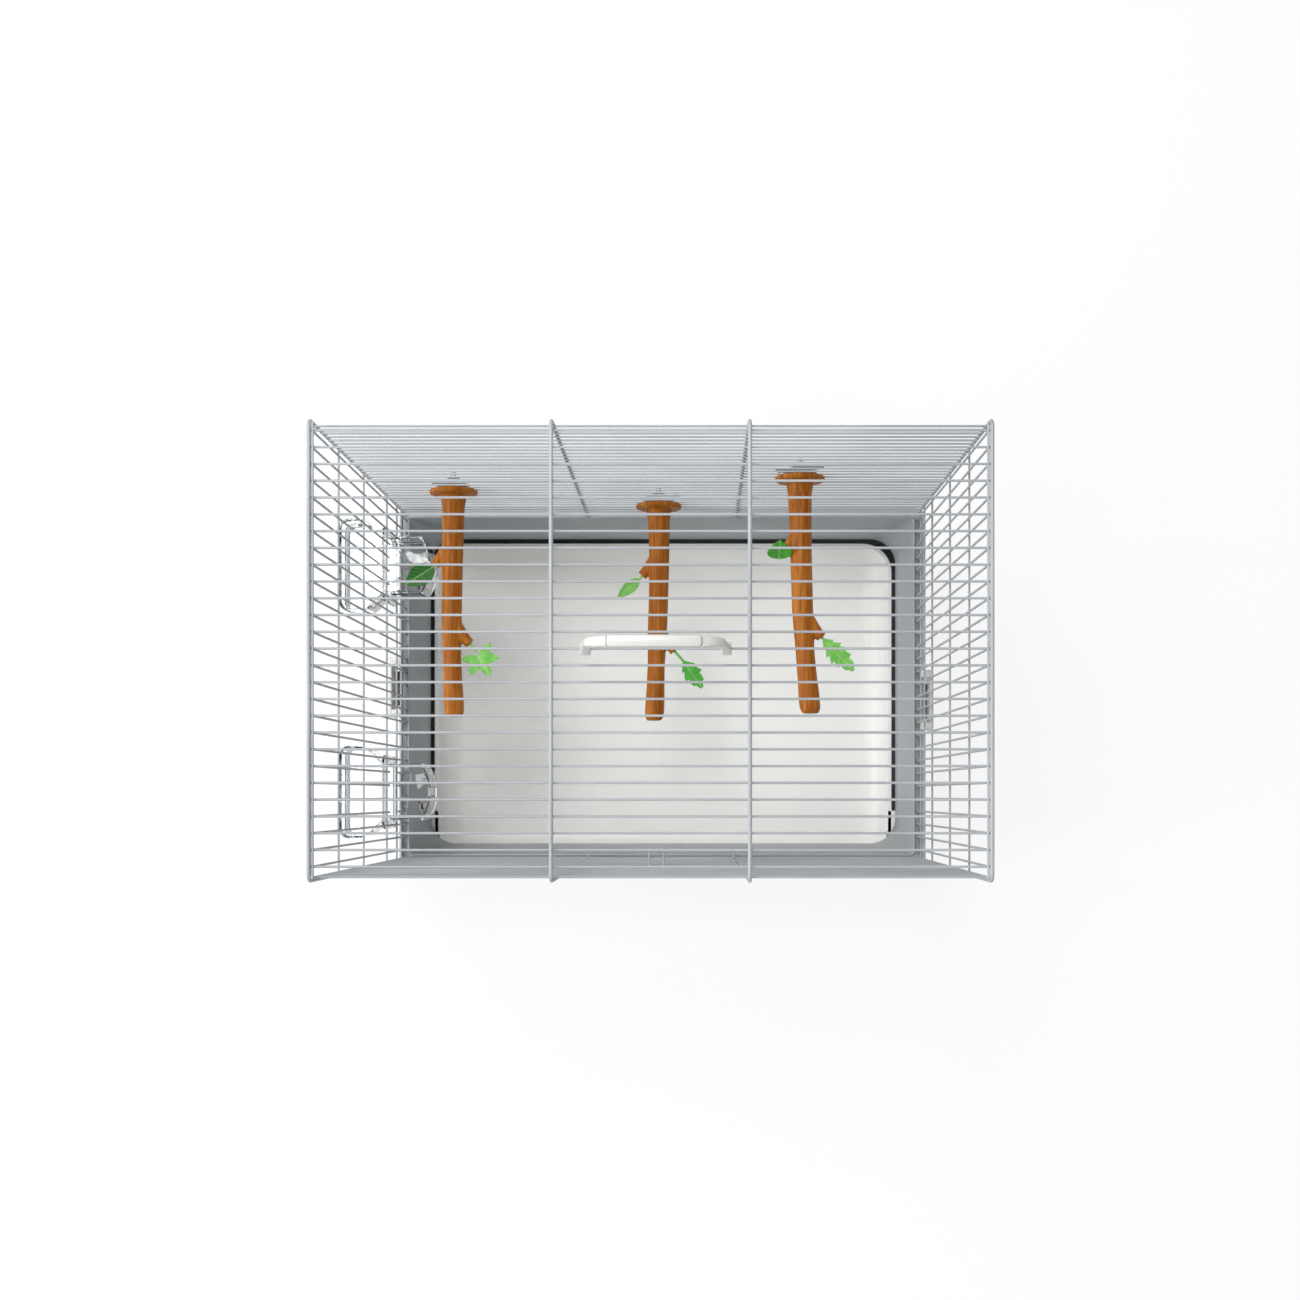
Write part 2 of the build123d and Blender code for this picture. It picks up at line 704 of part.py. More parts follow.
# Each leaf: perch, side, outline and its steps, length, width, stem, heading from the spur, tilt, roll
leaves = {
    "left_perch_oval_leaf": ("left", -1, oval_outline, 6, 26.0, 16.0, 2.5, 16.0, 8.0, 0.0),
    "left_perch_lobed_leaf": ("left", 1, lobed_outline, 5, 27.0, 38.0, 7.0, -11.0, 6.0, 0.0),
    "middle_perch_oval_leaf": ("middle", -1, oval_outline, 6, 25.0, 11.0, 4.0, 8.0, 10.0, 0.0),
    "middle_perch_toothed_leaf": ("middle", 1, toothed_outline, 3, 30.0, 17.0, 13.0, -6.0, 12.0, 0.0),
    "right_perch_upright_leaf": ("right", -1, oval_outline, 6, 24.0, 21.0, 6.0, 139.0, 69.0, 0.0),
    "right_perch_toothed_leaf": ("right", 1, toothed_outline, 5, 36.0, 18.0, 3.0, 3.0, 5.0, 0.0),
}


def make_leaf(name):
    perch, side, outline, count, length, width, stem, heading, tilt, roll = leaves[name]
    foot, way = spur_line(perch, side)
    mouth = foot + way * spur_length
    inside = socket_depth - stem_play
    out = way.rotate(Axis.Z, side * heading)
    stem_end = mouth + way * stem
    across = out.cross(Vector(0, 0, 1)).normalized()
    out = out.rotate(Axis((0, 0, 0), across), tilt)
    up = across.cross(out).normalized().rotate(Axis((0, 0, 0), out), roll)
    blade = Plane(origin=stem_end - out * stem_r, x_dir=out, z_dir=up)
    with BuildPart() as leaf:
        with BuildSketch(Plane(origin=mouth - way * inside, z_dir=way)):
            RegularPolygon(stem_r, stem_sides)
        extrude(amount=inside + stem)
        with BuildSketch(blade.offset(-leaf_wall / 2)):
            Polygon(*outline(length, width, count), align=None)
        extrude(amount=leaf_wall)
    save(leaf, name)


# Carrying handle: an arch that turns on the middle wire of the roof

def make_handle():
    pivot_y = roof_wire_ys[roof_wire_count // 2]
    grip_z = roof_z + handle_grip_height
    half = handle_span / 2
    bore_r = wire_d / 2 / cos(radians(22.5)) + handle_clearance
    with BuildPart() as handle:
        left_x = handle_centre_x - half
        right_x = handle_centre_x + half
        splay = (handle_span - handle_top_span) / 2
        corners = [
            (left_x, pivot_y, roof_z), (left_x + splay, pivot_y, grip_z),
            (right_x - splay, pivot_y, grip_z), (right_x, pivot_y, roof_z),
        ]
        with BuildLine() as arch:
            Polyline(*bent(corners, [handle_shoulder_r, handle_shoulder_r]))
        with BuildSketch(Plane.XY.offset(roof_z)):
            with Locations((left_x, pivot_y)):
                Rectangle(handle_leg_width, handle_leg_depth)
        sweep(path=arch.line, transition=Transition.RIGHT)
        # Full, rounded grip between the shoulders
        grip_length = handle_top_span - 2 * handle_shoulder_r
        with BuildSketch(Plane.YZ.offset(handle_centre_x - grip_length / 2)):
            with Locations((pivot_y, grip_z)):
                Polygon(
                    *stepped(handle_depth / 2, handle_grip_wall / 2, handle_depth * 0.35), align=None
                )
        extrude(amount=grip_length)
        # Eyes round the roof wire
        for x in (handle_centre_x - half, handle_centre_x + half):
            with BuildSketch(Plane.YZ.offset(x - handle_leg_width / 2)):
                with Locations((pivot_y, roof_z)):
                    RegularPolygon(handle_eye_r, 12)
            extrude(amount=handle_leg_width)
        with BuildSketch(Plane.YZ.offset(handle_centre_x - half - handle_leg_width)):
            with Locations((pivot_y, roof_z)):
                Circle(bore_r)
        extrude(amount=handle_span + 2 * handle_leg_width, mode=Mode.SUBTRACT)
    save(handle, "carry_handle")


# Clear feeder cups that pass through the left wall and slide out

def feeder_outline(inset):
    """Plan of a cup, seen from above: bowed inside the cage, wide and rounded outside it."""
    half = feeder_width / 2 - inset
    half_out = feeder_width_out / 2 - inset
    flare_x = -hoop_d - wire_d
    wide_x = flare_x - (half_out - half) + inset
    end_x = -feeder_reach_out + inset
    corner = feeder_corner_r - inset
    edge = [(wide_x, half_out), (flare_x, half)]
    for k in range(bow_steps):
        share = 1 - k / bow_steps
        edge.append((feeder_reach_in - inset - feeder_bow * share**2, half * share))
    for k in range(cove_steps + 1):
        angle = radians(90 * k / cove_steps)
        edge.insert(0, (end_x + corner * (1 - sin(angle)), half_out - corner * (1 - cos(angle))))
    tip = [(feeder_reach_in - inset, 0)]
    points = edge + tip + [(x, -y) for x, y in reversed(edge)]
    return points


def make_feeder(name, first_wire):
    edges = roof_wire_ys[first_wire - 1], roof_wire_ys[first_wire + feeder_opening_wires]
    centre_y = sum(edges) / 2
    low_z = roof_z - feeder_bottom_depth + wire_d / 2 + feeder_gap
    top_z = roof_z - feeder_top_depth - feeder_top_gap
    place = Plane(origin=(-hoop_x, centre_y, low_z))
    flange_x = -(hoop_x + wire_d / 2 + feeder_gap)
    flange_low_z = low_z - feeder_flange_margin
    flange_high_z = roof_z - feeder_top_depth + feeder_flange_margin
    with BuildPart() as cup:
        with BuildSketch(place):
            Polygon(*feeder_outline(0), align=None)
        extrude(amount=top_z - low_z)
        with BuildSketch(Plane.YZ.offset(flange_x)):
            with Locations((centre_y, (flange_low_z + flange_high_z) / 2)):
                flange_y = (edges[0] - edges[1] + feeder_flange_margin) / 2
                half_z = (flange_high_z - flange_low_z) / 2
                Polygon(*stepped(flange_y, half_z, feeder_corner_r), align=None)
        extrude(amount=-feeder_wall)
        with BuildSketch(place.offset(feeder_wall)):
            Polygon(*feeder_outline(feeder_wall), align=None)
        extrude(amount=flange_high_z - low_z, mode=Mode.SUBTRACT)
    save(cup, name)


# Side latches: each hooks over the lowest cross wire and turns down and out on its pin

def make_latch(name, side):
    centre_y = latch_centres[name]
    pivot_x, pivot_z = latch_pivot(side)
    hook_z = roof_z - latch_rail_depth + wire_d / 2 + latch_gap
    hook_x = side * (hoop_x - wire_d / 2 + latch_gap)
    plate_z = pivot_z + latch_barrel_r + 2 * latch_gap
    bore_r = latch_pin_r + latch_pin_clearance
    with BuildPart() as latch:
        with BuildSketch(Plane.XZ.offset(-(centre_y + latch_barrel_length / 2))):
            with Locations((pivot_x, pivot_z)):
                barrel_section()
            with Locations((pivot_x + side * latch_wall / 2, (pivot_z + plate_z) / 2)):
                Rectangle(latch_wall, plate_z - pivot_z)
        extrude(amount=latch_barrel_length)
        with BuildSketch(Plane.XY.offset(plate_z)):
            with Locations((pivot_x + side * latch_wall / 2, centre_y)):
                Rectangle(latch_wall, latch_length)
        extrude(amount=hook_z + latch_wall - plate_z)
        arm_length = abs(pivot_x - hook_x) + latch_wall / 2
        arm_y = (latch_length - latch_arm_width) / 2
        with BuildSketch(Plane.XY.offset(hook_z)):
            with Locations(
                (hook_x + side * arm_length / 2, centre_y - arm_y),
                (hook_x + side * arm_length / 2, centre_y + arm_y),
            ):
                Rectangle(arm_length, latch_arm_width)
        extrude(amount=latch_wall)
        outer = latch.edges().filter_by(Axis.Y).sort_by(Axis.Z)[-4:].sort_by(Axis.X)
        chamfer(outer[-1] if side > 0 else outer[0], latch_wall * 0.6)
        with BuildSketch(Plane.XZ.offset(-(centre_y + latch_length / 2))):
            with Locations((pivot_x, pivot_z)):
                RegularPolygon(bore_r, 8, major_radius=False, rotation=22.5)
        extrude(amount=latch_length, mode=Mode.SUBTRACT)
    save(latch, f"{name}_latch")


def make_latch_pins():
    pin_length = latch_barrel_length + 2 * (latch_gap + latch_ear_length)
    with BuildPart() as pins:
        for name, side in (("left", -1), ("right", 1)):
            pivot_x, pivot_z = latch_pivot(side)
            with BuildSketch(Plane.XZ.offset(-(latch_centres[name] + pin_length / 2))):
                with Locations((pivot_x, pivot_z)):
                    Circle(latch_pin_r)
            extrude(amount=pin_length)
    save(pins, "latch_pins")


make_roof()
make_back_wall()
make_front_wall()
make_end_wall("left", -1)
make_end_wall("right", 1)
make_hoop("left_end_hoop", -hoop_x)
make_hoop("left_middle_hoop", -cross_x)
make_hoop("right_middle_hoop", cross_x)
make_hoop("right_end_hoop", hoop_x)
make_door()
make_tub()
make_guard_frame()
make_tray()
for perch_name in perches:
    make_perch(perch_name)
make_perch_fixings()
for leaf_name in leaves:
    make_leaf(leaf_name)
make_handle()
make_feeder("rear_feeder_cup", feeder_first_wires[0])
make_feeder("front_feeder_cup", feeder_first_wires[1])
make_latch("left", -1)
make_latch("right", 1)
make_latch_pins()
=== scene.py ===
import json
from math import atan2, cos, pi, radians, sin

import bmesh
import bpy
from mathutils import Matrix, Vector


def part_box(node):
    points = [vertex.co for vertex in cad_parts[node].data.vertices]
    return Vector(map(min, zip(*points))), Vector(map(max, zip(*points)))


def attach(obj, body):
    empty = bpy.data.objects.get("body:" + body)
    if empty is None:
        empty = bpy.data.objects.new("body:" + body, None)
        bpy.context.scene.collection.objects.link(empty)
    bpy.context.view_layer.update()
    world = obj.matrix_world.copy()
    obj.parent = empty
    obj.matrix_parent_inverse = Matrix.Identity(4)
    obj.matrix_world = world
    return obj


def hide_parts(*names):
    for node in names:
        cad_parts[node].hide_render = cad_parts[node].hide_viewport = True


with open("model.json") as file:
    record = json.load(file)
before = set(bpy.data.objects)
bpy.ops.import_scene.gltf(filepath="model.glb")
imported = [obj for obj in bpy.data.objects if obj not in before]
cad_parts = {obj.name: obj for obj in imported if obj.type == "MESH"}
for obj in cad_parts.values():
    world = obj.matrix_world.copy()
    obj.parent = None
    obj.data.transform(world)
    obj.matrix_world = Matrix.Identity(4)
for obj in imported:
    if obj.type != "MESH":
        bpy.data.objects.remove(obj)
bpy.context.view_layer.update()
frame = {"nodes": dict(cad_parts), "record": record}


def linear(red, green, blue):
    """A display colour, 0 to 255, as the linear colour that a shader takes."""
    values = [v / 255 for v in (red, green, blue)]
    return tuple(v / 12.92 if v <= 0.04045 else ((v + 0.055) / 1.055) ** 2.4 for v in values) + (1.0,)


class Flow:
    """A shader socket that can be added, multiplied and compared like a number."""

    def __init__(self, finish, socket):
        self.finish = finish
        self.socket = socket

    def _sum(self, operation, *values):
        return self.finish.node("Math", {"operation": operation}, dict(enumerate(values)))

    def __add__(self, other):
        return self._sum("ADD", self, other)

    def __sub__(self, other):
        return self._sum("SUBTRACT", self, other)

    def __mul__(self, other):
        return self._sum("MULTIPLY", self, other)

    def __rsub__(self, other):
        return self._sum("SUBTRACT", other, self)

    __radd__ = __add__
    __rmul__ = __mul__

    def size(self):
        return self._sum("ABSOLUTE", self)

    def part(self):
        return self._sum("FRACT", self)

    def most(self, other):
        return self._sum("MAXIMUM", self, other)

    def ramp(self, low, high, start=0.0, end=1.0):
        """Smoothly maps low..high to start..end."""
        settings = {"interpolation_type": "SMOOTHSTEP", "clamp": True}
        values = {0: self, 1: low, 2: high, 3: start, 4: end}
        return self.finish.node("MapRange", settings, values)


class Finish:
    """One material on a Principled shader, with helpers for its nodes."""

    def __init__(self, name, **fixed):
        self.material = bpy.data.materials.new(name)
        self.material.use_nodes = True
        self.tree = self.material.node_tree
        self.shader = self.tree.nodes["Principled BSDF"]
        self.where = None
        for socket, value in fixed.items():
            self.shader.inputs[socket.replace("_", " ")].default_value = value

    def node(self, kind, settings=None, values=None, output=0):
        made = self.tree.nodes.new("ShaderNode" + kind)
        for key, value in (settings or {}).items():
            if key == "stops":
                ramp = made.color_ramp
                while len(ramp.elements) < len(value):
                    ramp.elements.new(0.5)
                for stop, (place, colour) in zip(ramp.elements, value):
                    stop.position = place
                    stop.color = colour
            else:
                setattr(made, key, value)
        for key, value in (values or {}).items():
            socket = made.inputs[key]
            if isinstance(value, Flow):
                self.tree.links.new(value.socket, socket)
            else:
                socket.default_value = value
        return Flow(self, made.outputs[output])

    def place(self):
        if self.where is None:
            self.where = self.node("TexCoord", output="Object")
        return self.where

    def stretched(self, scale):
        return self.node("Mapping", None, {"Vector": self.place(), "Scale": scale})

    def noise(self, scale, detail=2.0, roughness=0.5, vector=None, distortion=0.0):
        values = {
            "Vector": vector or self.place(), "Scale": scale, "Detail": detail,
            "Roughness": roughness, "Distortion": distortion,
        }
        return self.node("TexNoise", None, values)

    def axis(self, name, vector=None):
        return self.node("SeparateXYZ", None, {0: vector or self.place()}, output=name)

    def blend(self, factor, first, second):
        values = {0: factor, 6: first, 7: second}
        return self.node("Mix", {"data_type": "RGBA"}, values, output=2)

    def feed(self, socket, flow):
        self.tree.links.new(flow.socket, self.shader.inputs[socket])

    def bump(self, height, distance, strength=1.0):
        values = {"Height": height, "Distance": distance, "Strength": strength}
        self.feed("Normal", self.node("Bump", None, values))


# The carrier's paint, plastics and steel

def wire_paint():
    """Blue-grey powder coat: a faint orange peel and slightly uneven colour."""
    finish = Finish("wire_paint", Specular_IOR_Level=0.5)
    cloud = finish.noise(9.0, 3.0)
    peel = finish.noise(900.0, 2.0)
    tone = finish.blend(cloud.ramp(0.35, 0.65), linear(150, 154, 158), linear(163, 167, 171))
    finish.feed("Base Color", tone)
    finish.feed("Roughness", cloud.ramp(0.3, 0.7, 0.36, 0.46))
    finish.bump(peel, 0.00004)
    return finish.material


def grey_plastic():
    """Glossy moulded grey plastic with faint flow marks."""
    finish = Finish("grey_plastic", Specular_IOR_Level=0.5)
    flow = finish.noise(5.0, 1.0)
    grain = finish.noise(1600.0, 2.0)
    tone = finish.blend(flow.ramp(0.3, 0.7), linear(148, 153, 157), linear(152, 157, 160))
    finish.feed("Base Color", tone)
    finish.feed("Roughness", flow.ramp(0.3, 0.7, 0.30, 0.34))
    finish.bump(grain, 0.00002)
    return finish.material


def tray_plastic():
    finish = Finish("tray_plastic", Specular_IOR_Level=0.45)
    flow = finish.noise(8.0, 3.0)
    grain = finish.noise(1200.0, 2.0)
    tone = finish.blend(flow.ramp(0.3, 0.7), linear(236, 236, 232), linear(240, 240, 237))
    finish.feed("Base Color", tone)
    finish.feed("Roughness", flow.ramp(0.3, 0.7, 0.34, 0.44))
    finish.bump(grain * 0.3 + flow * 0.7, 0.00006)
    return finish.material


def branch_plastic():
    finish = Finish("branch_plastic", Specular_IOR_Level=0.2)
    # Moulded wood grain with painted highlight: the broad lengthwise lighter patches, which reach up to
    # the lightest stop of the ramp, stand in for the perch's highlights and are placed at random, not
    # where light falls.
    fibre = finish.noise(1.0, 5.0, 0.62, finish.stretched((520.0, 26.0, 520.0)), 0.4)
    highlight_patches = finish.noise(1.0, 3.0, 0.5, finish.stretched((110.0, 9.0, 110.0)))
    grain_and_highlight = finish.node("ValToRGB", {"stops": [
        (0.28, linear(104, 48, 2)), (0.46, linear(144, 80, 10)),
        (0.60, linear(170, 104, 28)), (0.78, linear(200, 138, 66)),
    ]}, {0: fibre * 0.7 + highlight_patches * 0.3})
    finish.feed("Base Color", grain_and_highlight)
    finish.feed("Roughness", fibre.ramp(0.3, 0.7, 0.55, 0.40))
    finish.bump(fibre, 0.0004)
    return finish.material


def white_plastic():
    finish = Finish("white_plastic", Specular_IOR_Level=0.5)
    flow = finish.noise(30.0, 2.0)
    finish.feed("Base Color", finish.blend(flow, linear(196, 196, 192), linear(205, 205, 202)))
    finish.feed("Roughness", flow.ramp(0.3, 0.7, 0.28, 0.38))
    finish.bump(finish.noise(900.0, 2.0), 0.00003)
    return finish.material


def black_plastic():
    finish = Finish("black_plastic", Specular_IOR_Level=0.45)
    grain = finish.noise(1400.0, 2.0)
    finish.feed("Base Color", finish.blend(grain, linear(24, 24, 26), linear(34, 34, 36)))
    finish.feed("Roughness", grain.ramp(0.3, 0.7, 0.45, 0.6))
    finish.bump(grain, 0.00006)
    return finish.material


def clear_plastic():
    finish = Finish("clear_plastic", Transmission_Weight=1.0, IOR=1.46, Specular_IOR_Level=0.5)
    haze = finish.noise(24.0, 2.0)
    finish.feed("Base Color", finish.blend(haze, linear(247, 250, 251), linear(252, 253, 253)))
    finish.feed("Roughness", haze.ramp(0.3, 0.7, 0.02, 0.06))
    finish.bump(finish.noise(70.0, 2.0), 0.0002)
    return finish.material


def turned_steel():
    finish = Finish("turned_steel", Metallic=1.0)
    ring = finish.noise(1.0, 2.0, 0.5, finish.stretched((80.0, 2400.0, 80.0)))
    finish.feed("Base Color", finish.blend(ring, linear(150, 150, 152), linear(186, 186, 188)))
    finish.feed("Roughness", ring.ramp(0.3, 0.7, 0.3, 0.42))
    finish.bump(ring, 0.00004)
    return finish.material


def leaf_plastic(name, dark, light, fresh_dark=None, fresh_light=None):
    """Moulded leaf with a midrib and side veins; the leaves nearer the middle may be fresher green."""
    finish = Finish(name, Specular_IOR_Level=0.35)
    cloud = finish.noise(160.0, 3.0)
    green = finish.blend(cloud.ramp(0.3, 0.7), dark, light)
    if fresh_dark:
        fresh = finish.blend(cloud.ramp(0.3, 0.7), fresh_dark, fresh_light)
        green = finish.blend(finish.axis("X").ramp(-0.12, -0.03), green, fresh)
    blade = finish.node("UVMap", {"uv_map": "blade"})
    along = finish.axis("X", blade)
    aside = finish.axis("Y", blade).size()
    side_veins = ((along * 6.0 - aside * 5.0).part() - 0.5).size().ramp(0.40, 0.5)
    midrib = aside.ramp(0.05, 0.02)
    veins = side_veins.most(midrib)
    finish.feed("Base Color", finish.blend(veins * 0.35, green, linear(168, 214, 132)))
    finish.feed("Roughness", cloud.ramp(0.3, 0.7, 0.42, 0.55))
    finish.bump(veins + cloud * 0.3, 0.0003)
    return finish.material


paints = {
    "painted_wire": wire_paint(),
    "grey_plastic": grey_plastic(),
    "white_tray_plastic": tray_plastic(),
    "brown_plastic": branch_plastic(),
    "dark_leaf_plastic": leaf_plastic(
        "dark_leaf", linear(0, 76, 0), linear(4, 100, 4), linear(34, 138, 16), linear(62, 160, 36)
    ),
    "light_leaf_plastic": leaf_plastic("light_leaf", linear(92, 168, 60), linear(120, 188, 88)),
    "black_plastic": black_plastic(),
    "white_plastic": white_plastic(),
    "clear_plastic": clear_plastic(),
    "bare_steel": turned_steel(),
}

for part in frame["record"]["subparts"]:
    node = frame["nodes"][part["node"]]
    for slot in node.material_slots:
        slot.material = paints[part["material_slot"]]


# Shapes are drawn in millimetres, and each finished piece is turned to metres.

mm = 0.001
bodies = frame["record"]["behaviour"]["bodies"]
body_of = {node: body for body, nodes in bodies.items() for node in nodes}
slot_of = {part["node"]: part["material_slot"] for part in frame["record"]["subparts"]}


def corners(node):
    """Lowest and highest corner of a CAD node, in millimetres."""
    low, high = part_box(node)
    return low / mm, high / mm


def finished(name, mesh, *nodes, crease=35.0):
    """A piece that stands for CAD nodes, with their body and their finish."""
    bmesh.ops.remove_doubles(mesh, verts=mesh.verts, dist=0.001)
    bmesh.ops.recalc_face_normals(mesh, faces=mesh.faces)
    bmesh.ops.scale(mesh, vec=(mm, mm, mm), verts=mesh.verts)
    data = bpy.data.meshes.new(name)
    mesh.to_mesh(data)
    mesh.free()
    data.shade_smooth()
    data.set_sharp_from_angle(angle=radians(crease))
    data.materials.append(paints[slot_of[nodes[0]]])
    made = bpy.data.objects.new(name, data)
    bpy.context.collection.objects.link(made)
    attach(made, body_of[nodes[0]])
    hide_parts(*nodes)
    return made


def soften(mesh, edges, offset, segments=2):
    bmesh.ops.bevel(
        mesh, geom=edges, offset=offset, offset_type="OFFSET", segments=segments,
        profile=0.5, affect="EDGES", clamp_overlap=True, material=-1,
    )


def block(mesh, low, high, soft=0.6):
    """A box between two corners, with softened edges."""
    low, high = Vector(low), Vector(high)
    size = high - low
    place = Matrix.Translation((low + high) / 2) @ Matrix.Diagonal((*size, 1.0))
    made = bmesh.ops.create_cube(mesh, size=1.0, matrix=place)
    faces = {face for vert in made["verts"] for face in vert.link_faces}
    soften(mesh, list({edge for face in faces for edge in face.edges}), soft)


def facing(way, at):
    return Matrix.Translation(at) @ Vector(way).to_track_quat("Z", "Y").to_matrix().to_4x4()


def rod(mesh, start, end, radius, sides=12, soft=0.25):
    """A round wire or pin with softened ends."""
    start, end = Vector(start), Vector(end)
    made = bmesh.ops.create_cone(
        mesh, cap_ends=True, segments=sides, radius1=radius, radius2=radius,
        depth=(end - start).length, matrix=facing(end - start, (start + end) / 2),
    )
    rims = {edge for vert in made["verts"] for edge in vert.link_edges}
    rims = [edge for edge in rims if any(len(face.verts) > 4 for face in edge.link_faces)]
    soften(mesh, rims, radius * soft, 1)


def outline(mesh, half_x, half_y, corner_r, z, middle=(0.0, 0.0), segments=8):
    """A rounded rectangle at a height, as one face."""
    place = Matrix.Translation((*middle, z)) @ Matrix.Diagonal((half_x, half_y, 1.0, 1.0))
    others = set(mesh.faces)
    made = bmesh.ops.create_grid(mesh, x_segments=1, y_segments=1, size=1.0, matrix=place)
    bmesh.ops.bevel(
        mesh, geom=made["verts"], offset=corner_r, offset_type="OFFSET", segments=segments,
        profile=0.5, affect="VERTICES", clamp_overlap=False, material=-1,
    )
    return next(face for face in mesh.faces if face not in others)


def loft(mesh, faces, closed=False):
    """Bridges a row of outlines. The first and last stay as caps, unless the row closes on itself."""
    loops = [list(face.edges) for face in faces]
    bmesh.ops.delete(mesh, geom=faces if closed else faces[1:-1], context="FACES_ONLY")
    pairs = list(zip(loops, loops[1:])) + ([(loops[-1], loops[0])] if closed else [])
    for low, high in pairs:
        bmesh.ops.bridge_loops(mesh, edges=low + high)


def join(mesh, other):
    """Adds another shape to a mesh and lets go of it."""
    data = bpy.data.meshes.new("joined")
    other.to_mesh(data)
    other.free()
    mesh.from_mesh(data)
    bpy.data.meshes.remove(data)


class WireBender:
    """Draws a round wire by feeding it straight ahead and turning it round an axis."""

    def __init__(self, mesh, start, way, radius, sides=12):
        self.mesh = mesh
        self.at = Vector(start)
        self.way = Vector(way).normalized()
        made = bmesh.ops.create_circle(
            mesh, cap_ends=True, radius=radius, segments=sides, matrix=facing(self.way, self.at)
        )
        self.loop = list({edge for vert in made["verts"] for edge in vert.link_edges})

    def feed(self, length):
        made = bmesh.ops.extrude_edge_only(self.mesh, edges=self.loop)["geom"]
        verts = [item for item in made if isinstance(item, bmesh.types.BMVert)]
        bmesh.ops.translate(self.mesh, vec=self.way * length, verts=verts)
        new = set(verts)
        self.loop = [
            item for item in made
            if isinstance(item, bmesh.types.BMEdge) and all(vert in new for vert in item.verts)
        ]
        self.at += self.way * length

    def turn(self, toward, radius, degrees, steps=8):
        toward = Vector(toward).normalized()
        axis = self.way.cross(toward).normalized()
        centre = self.at + toward * radius
        turned = Matrix.Rotation(radians(degrees), 3, axis)
        made = bmesh.ops.spin(
            self.mesh, geom=self.loop, cent=centre, axis=axis, angle=radians(degrees),
            steps=steps, use_duplicate=False, use_merge=False,
        )["geom_last"]
        self.loop = [item for item in made if isinstance(item, bmesh.types.BMEdge)]
        self.at = centre + turned @ (self.at - centre)
        self.way = turned @ self.way

    def end(self):
        bmesh.ops.edgeloop_fill(self.mesh, edges=self.loop)


# Wire cage

wire_r = 0.9
hoop_r = 1.5
hoop_bend = 6.0
hoop_names = ("left_end_hoop", "left_middle_hoop", "right_middle_hoop", "right_end_hoop")


def wires_of(node):
    """The lowest and highest corner of each separate wire in a CAD node, in millimetres."""
    mesh = bmesh.new()
    mesh.from_mesh(frame["nodes"][node].data)
    bmesh.ops.remove_doubles(mesh, verts=mesh.verts, dist=1e-6)
    left = set(mesh.verts)
    found = []
    while left:
        waiting = [left.pop()]
        group = []
        while waiting:
            vert = waiting.pop()
            group.append(vert.co / mm)
            for edge in vert.link_edges:
                other = edge.other_vert(vert)
                if other in left:
                    left.remove(other)
                    waiting.append(other)
        found.append((
            Vector([min(place[k] for place in group) for k in range(3)]),
            Vector([max(place[k] for place in group) for k in range(3)]),
        ))
    mesh.free()
    return sorted(found, key=lambda pair: tuple(round(v, 3) for v in pair[0]))


def straight_wires(name, node, radius=wire_r):
    mesh = bmesh.new()
    for low, high in wires_of(node):
        size = high - low
        along = max(range(3), key=lambda k: size[k])
        start = (low + high) / 2
        end = start.copy()
        start[along] = low[along]
        end[along] = high[along]
        rod(mesh, start, end, radius)
    return finished(name, mesh, node)


def hoop(name):
    low, high = corners(name)
    x = (low.x + high.x) / 2
    mesh = bmesh.new()
    wire = WireBender(mesh, (x, low.y + hoop_r, low.z), (0, 0, 1), hoop_r)
    wire.feed(high.z - hoop_r - low.z - hoop_bend)
    wire.turn((0, 1, 0), hoop_bend, 90)
    wire.feed(high.y - low.y - 2 * hoop_r - 2 * hoop_bend)
    wire.turn((0, 0, -1), hoop_bend, 90)
    wire.feed(high.z - hoop_r - low.z - hoop_bend)
    wire.end()
    return finished(name + "_bent", mesh, name)


# Front door

door_frame_r = 1.2
door_bend = 7.0
eye_turn = 255.0
catch_bend = 3.0
hinge_wire_r = 1.1


def door():
    low, high = corners("door_frame")
    pin_low, pin_high = corners("door_hinge_wire")
    pin = (pin_low + pin_high) / 2
    out_y = corners("door_catch")[0].y + 2 * wire_r + door_frame_r
    eye_r = pin.y - out_y
    side = high.x - door_frame_r
    top = high.z - door_frame_r
    mesh = bmesh.new()
    start = radians(eye_turn - 180)
    place = (-side, pin.y + eye_r * cos(start), pin.z + eye_r * sin(start))
    wire = WireBender(mesh, place, (0, sin(start), -cos(start)), door_frame_r)
    wire.turn((0, -cos(start), -sin(start)), eye_r, eye_turn, 16)
    wire.feed(top - pin.z - door_bend)
    wire.turn((1, 0, 0), door_bend, 90)
    wire.feed(2 * side - 2 * door_bend)
    wire.turn((0, 0, -1), door_bend, 90)
    wire.feed(top - pin.z - door_bend)
    wire.turn((0, 1, 0), eye_r, eye_turn, 16)
    wire.end()
    finished("door_frame_bent", mesh, "door_frame")

    low, high = corners("door_catch")
    half = high.x - wire_r
    mesh = bmesh.new()
    wire = WireBender(mesh, (-half, low.y + wire_r, low.z), (0, 0, 1), wire_r)
    wire.feed(high.z - wire_r - low.z - catch_bend)
    wire.turn((0, 1, 0), catch_bend, 90, 6)
    wire.feed(high.y - low.y - 2 * wire_r - catch_bend - half)
    wire.turn((1, 0, 0), half, 180, 14)
    wire.feed(high.y - low.y - 2 * wire_r - catch_bend - half)
    wire.turn((0, 0, -1), catch_bend, 90, 6)
    wire.feed(high.z - wire_r - low.z - catch_bend)
    wire.end()
    finished("door_catch_bent", mesh, "door_catch")
    straight_wires("door_rods", "door_wires")
    straight_wires("door_hinge_rod", "door_hinge_wire", hinge_wire_r)


# Base: tub, guard and tray

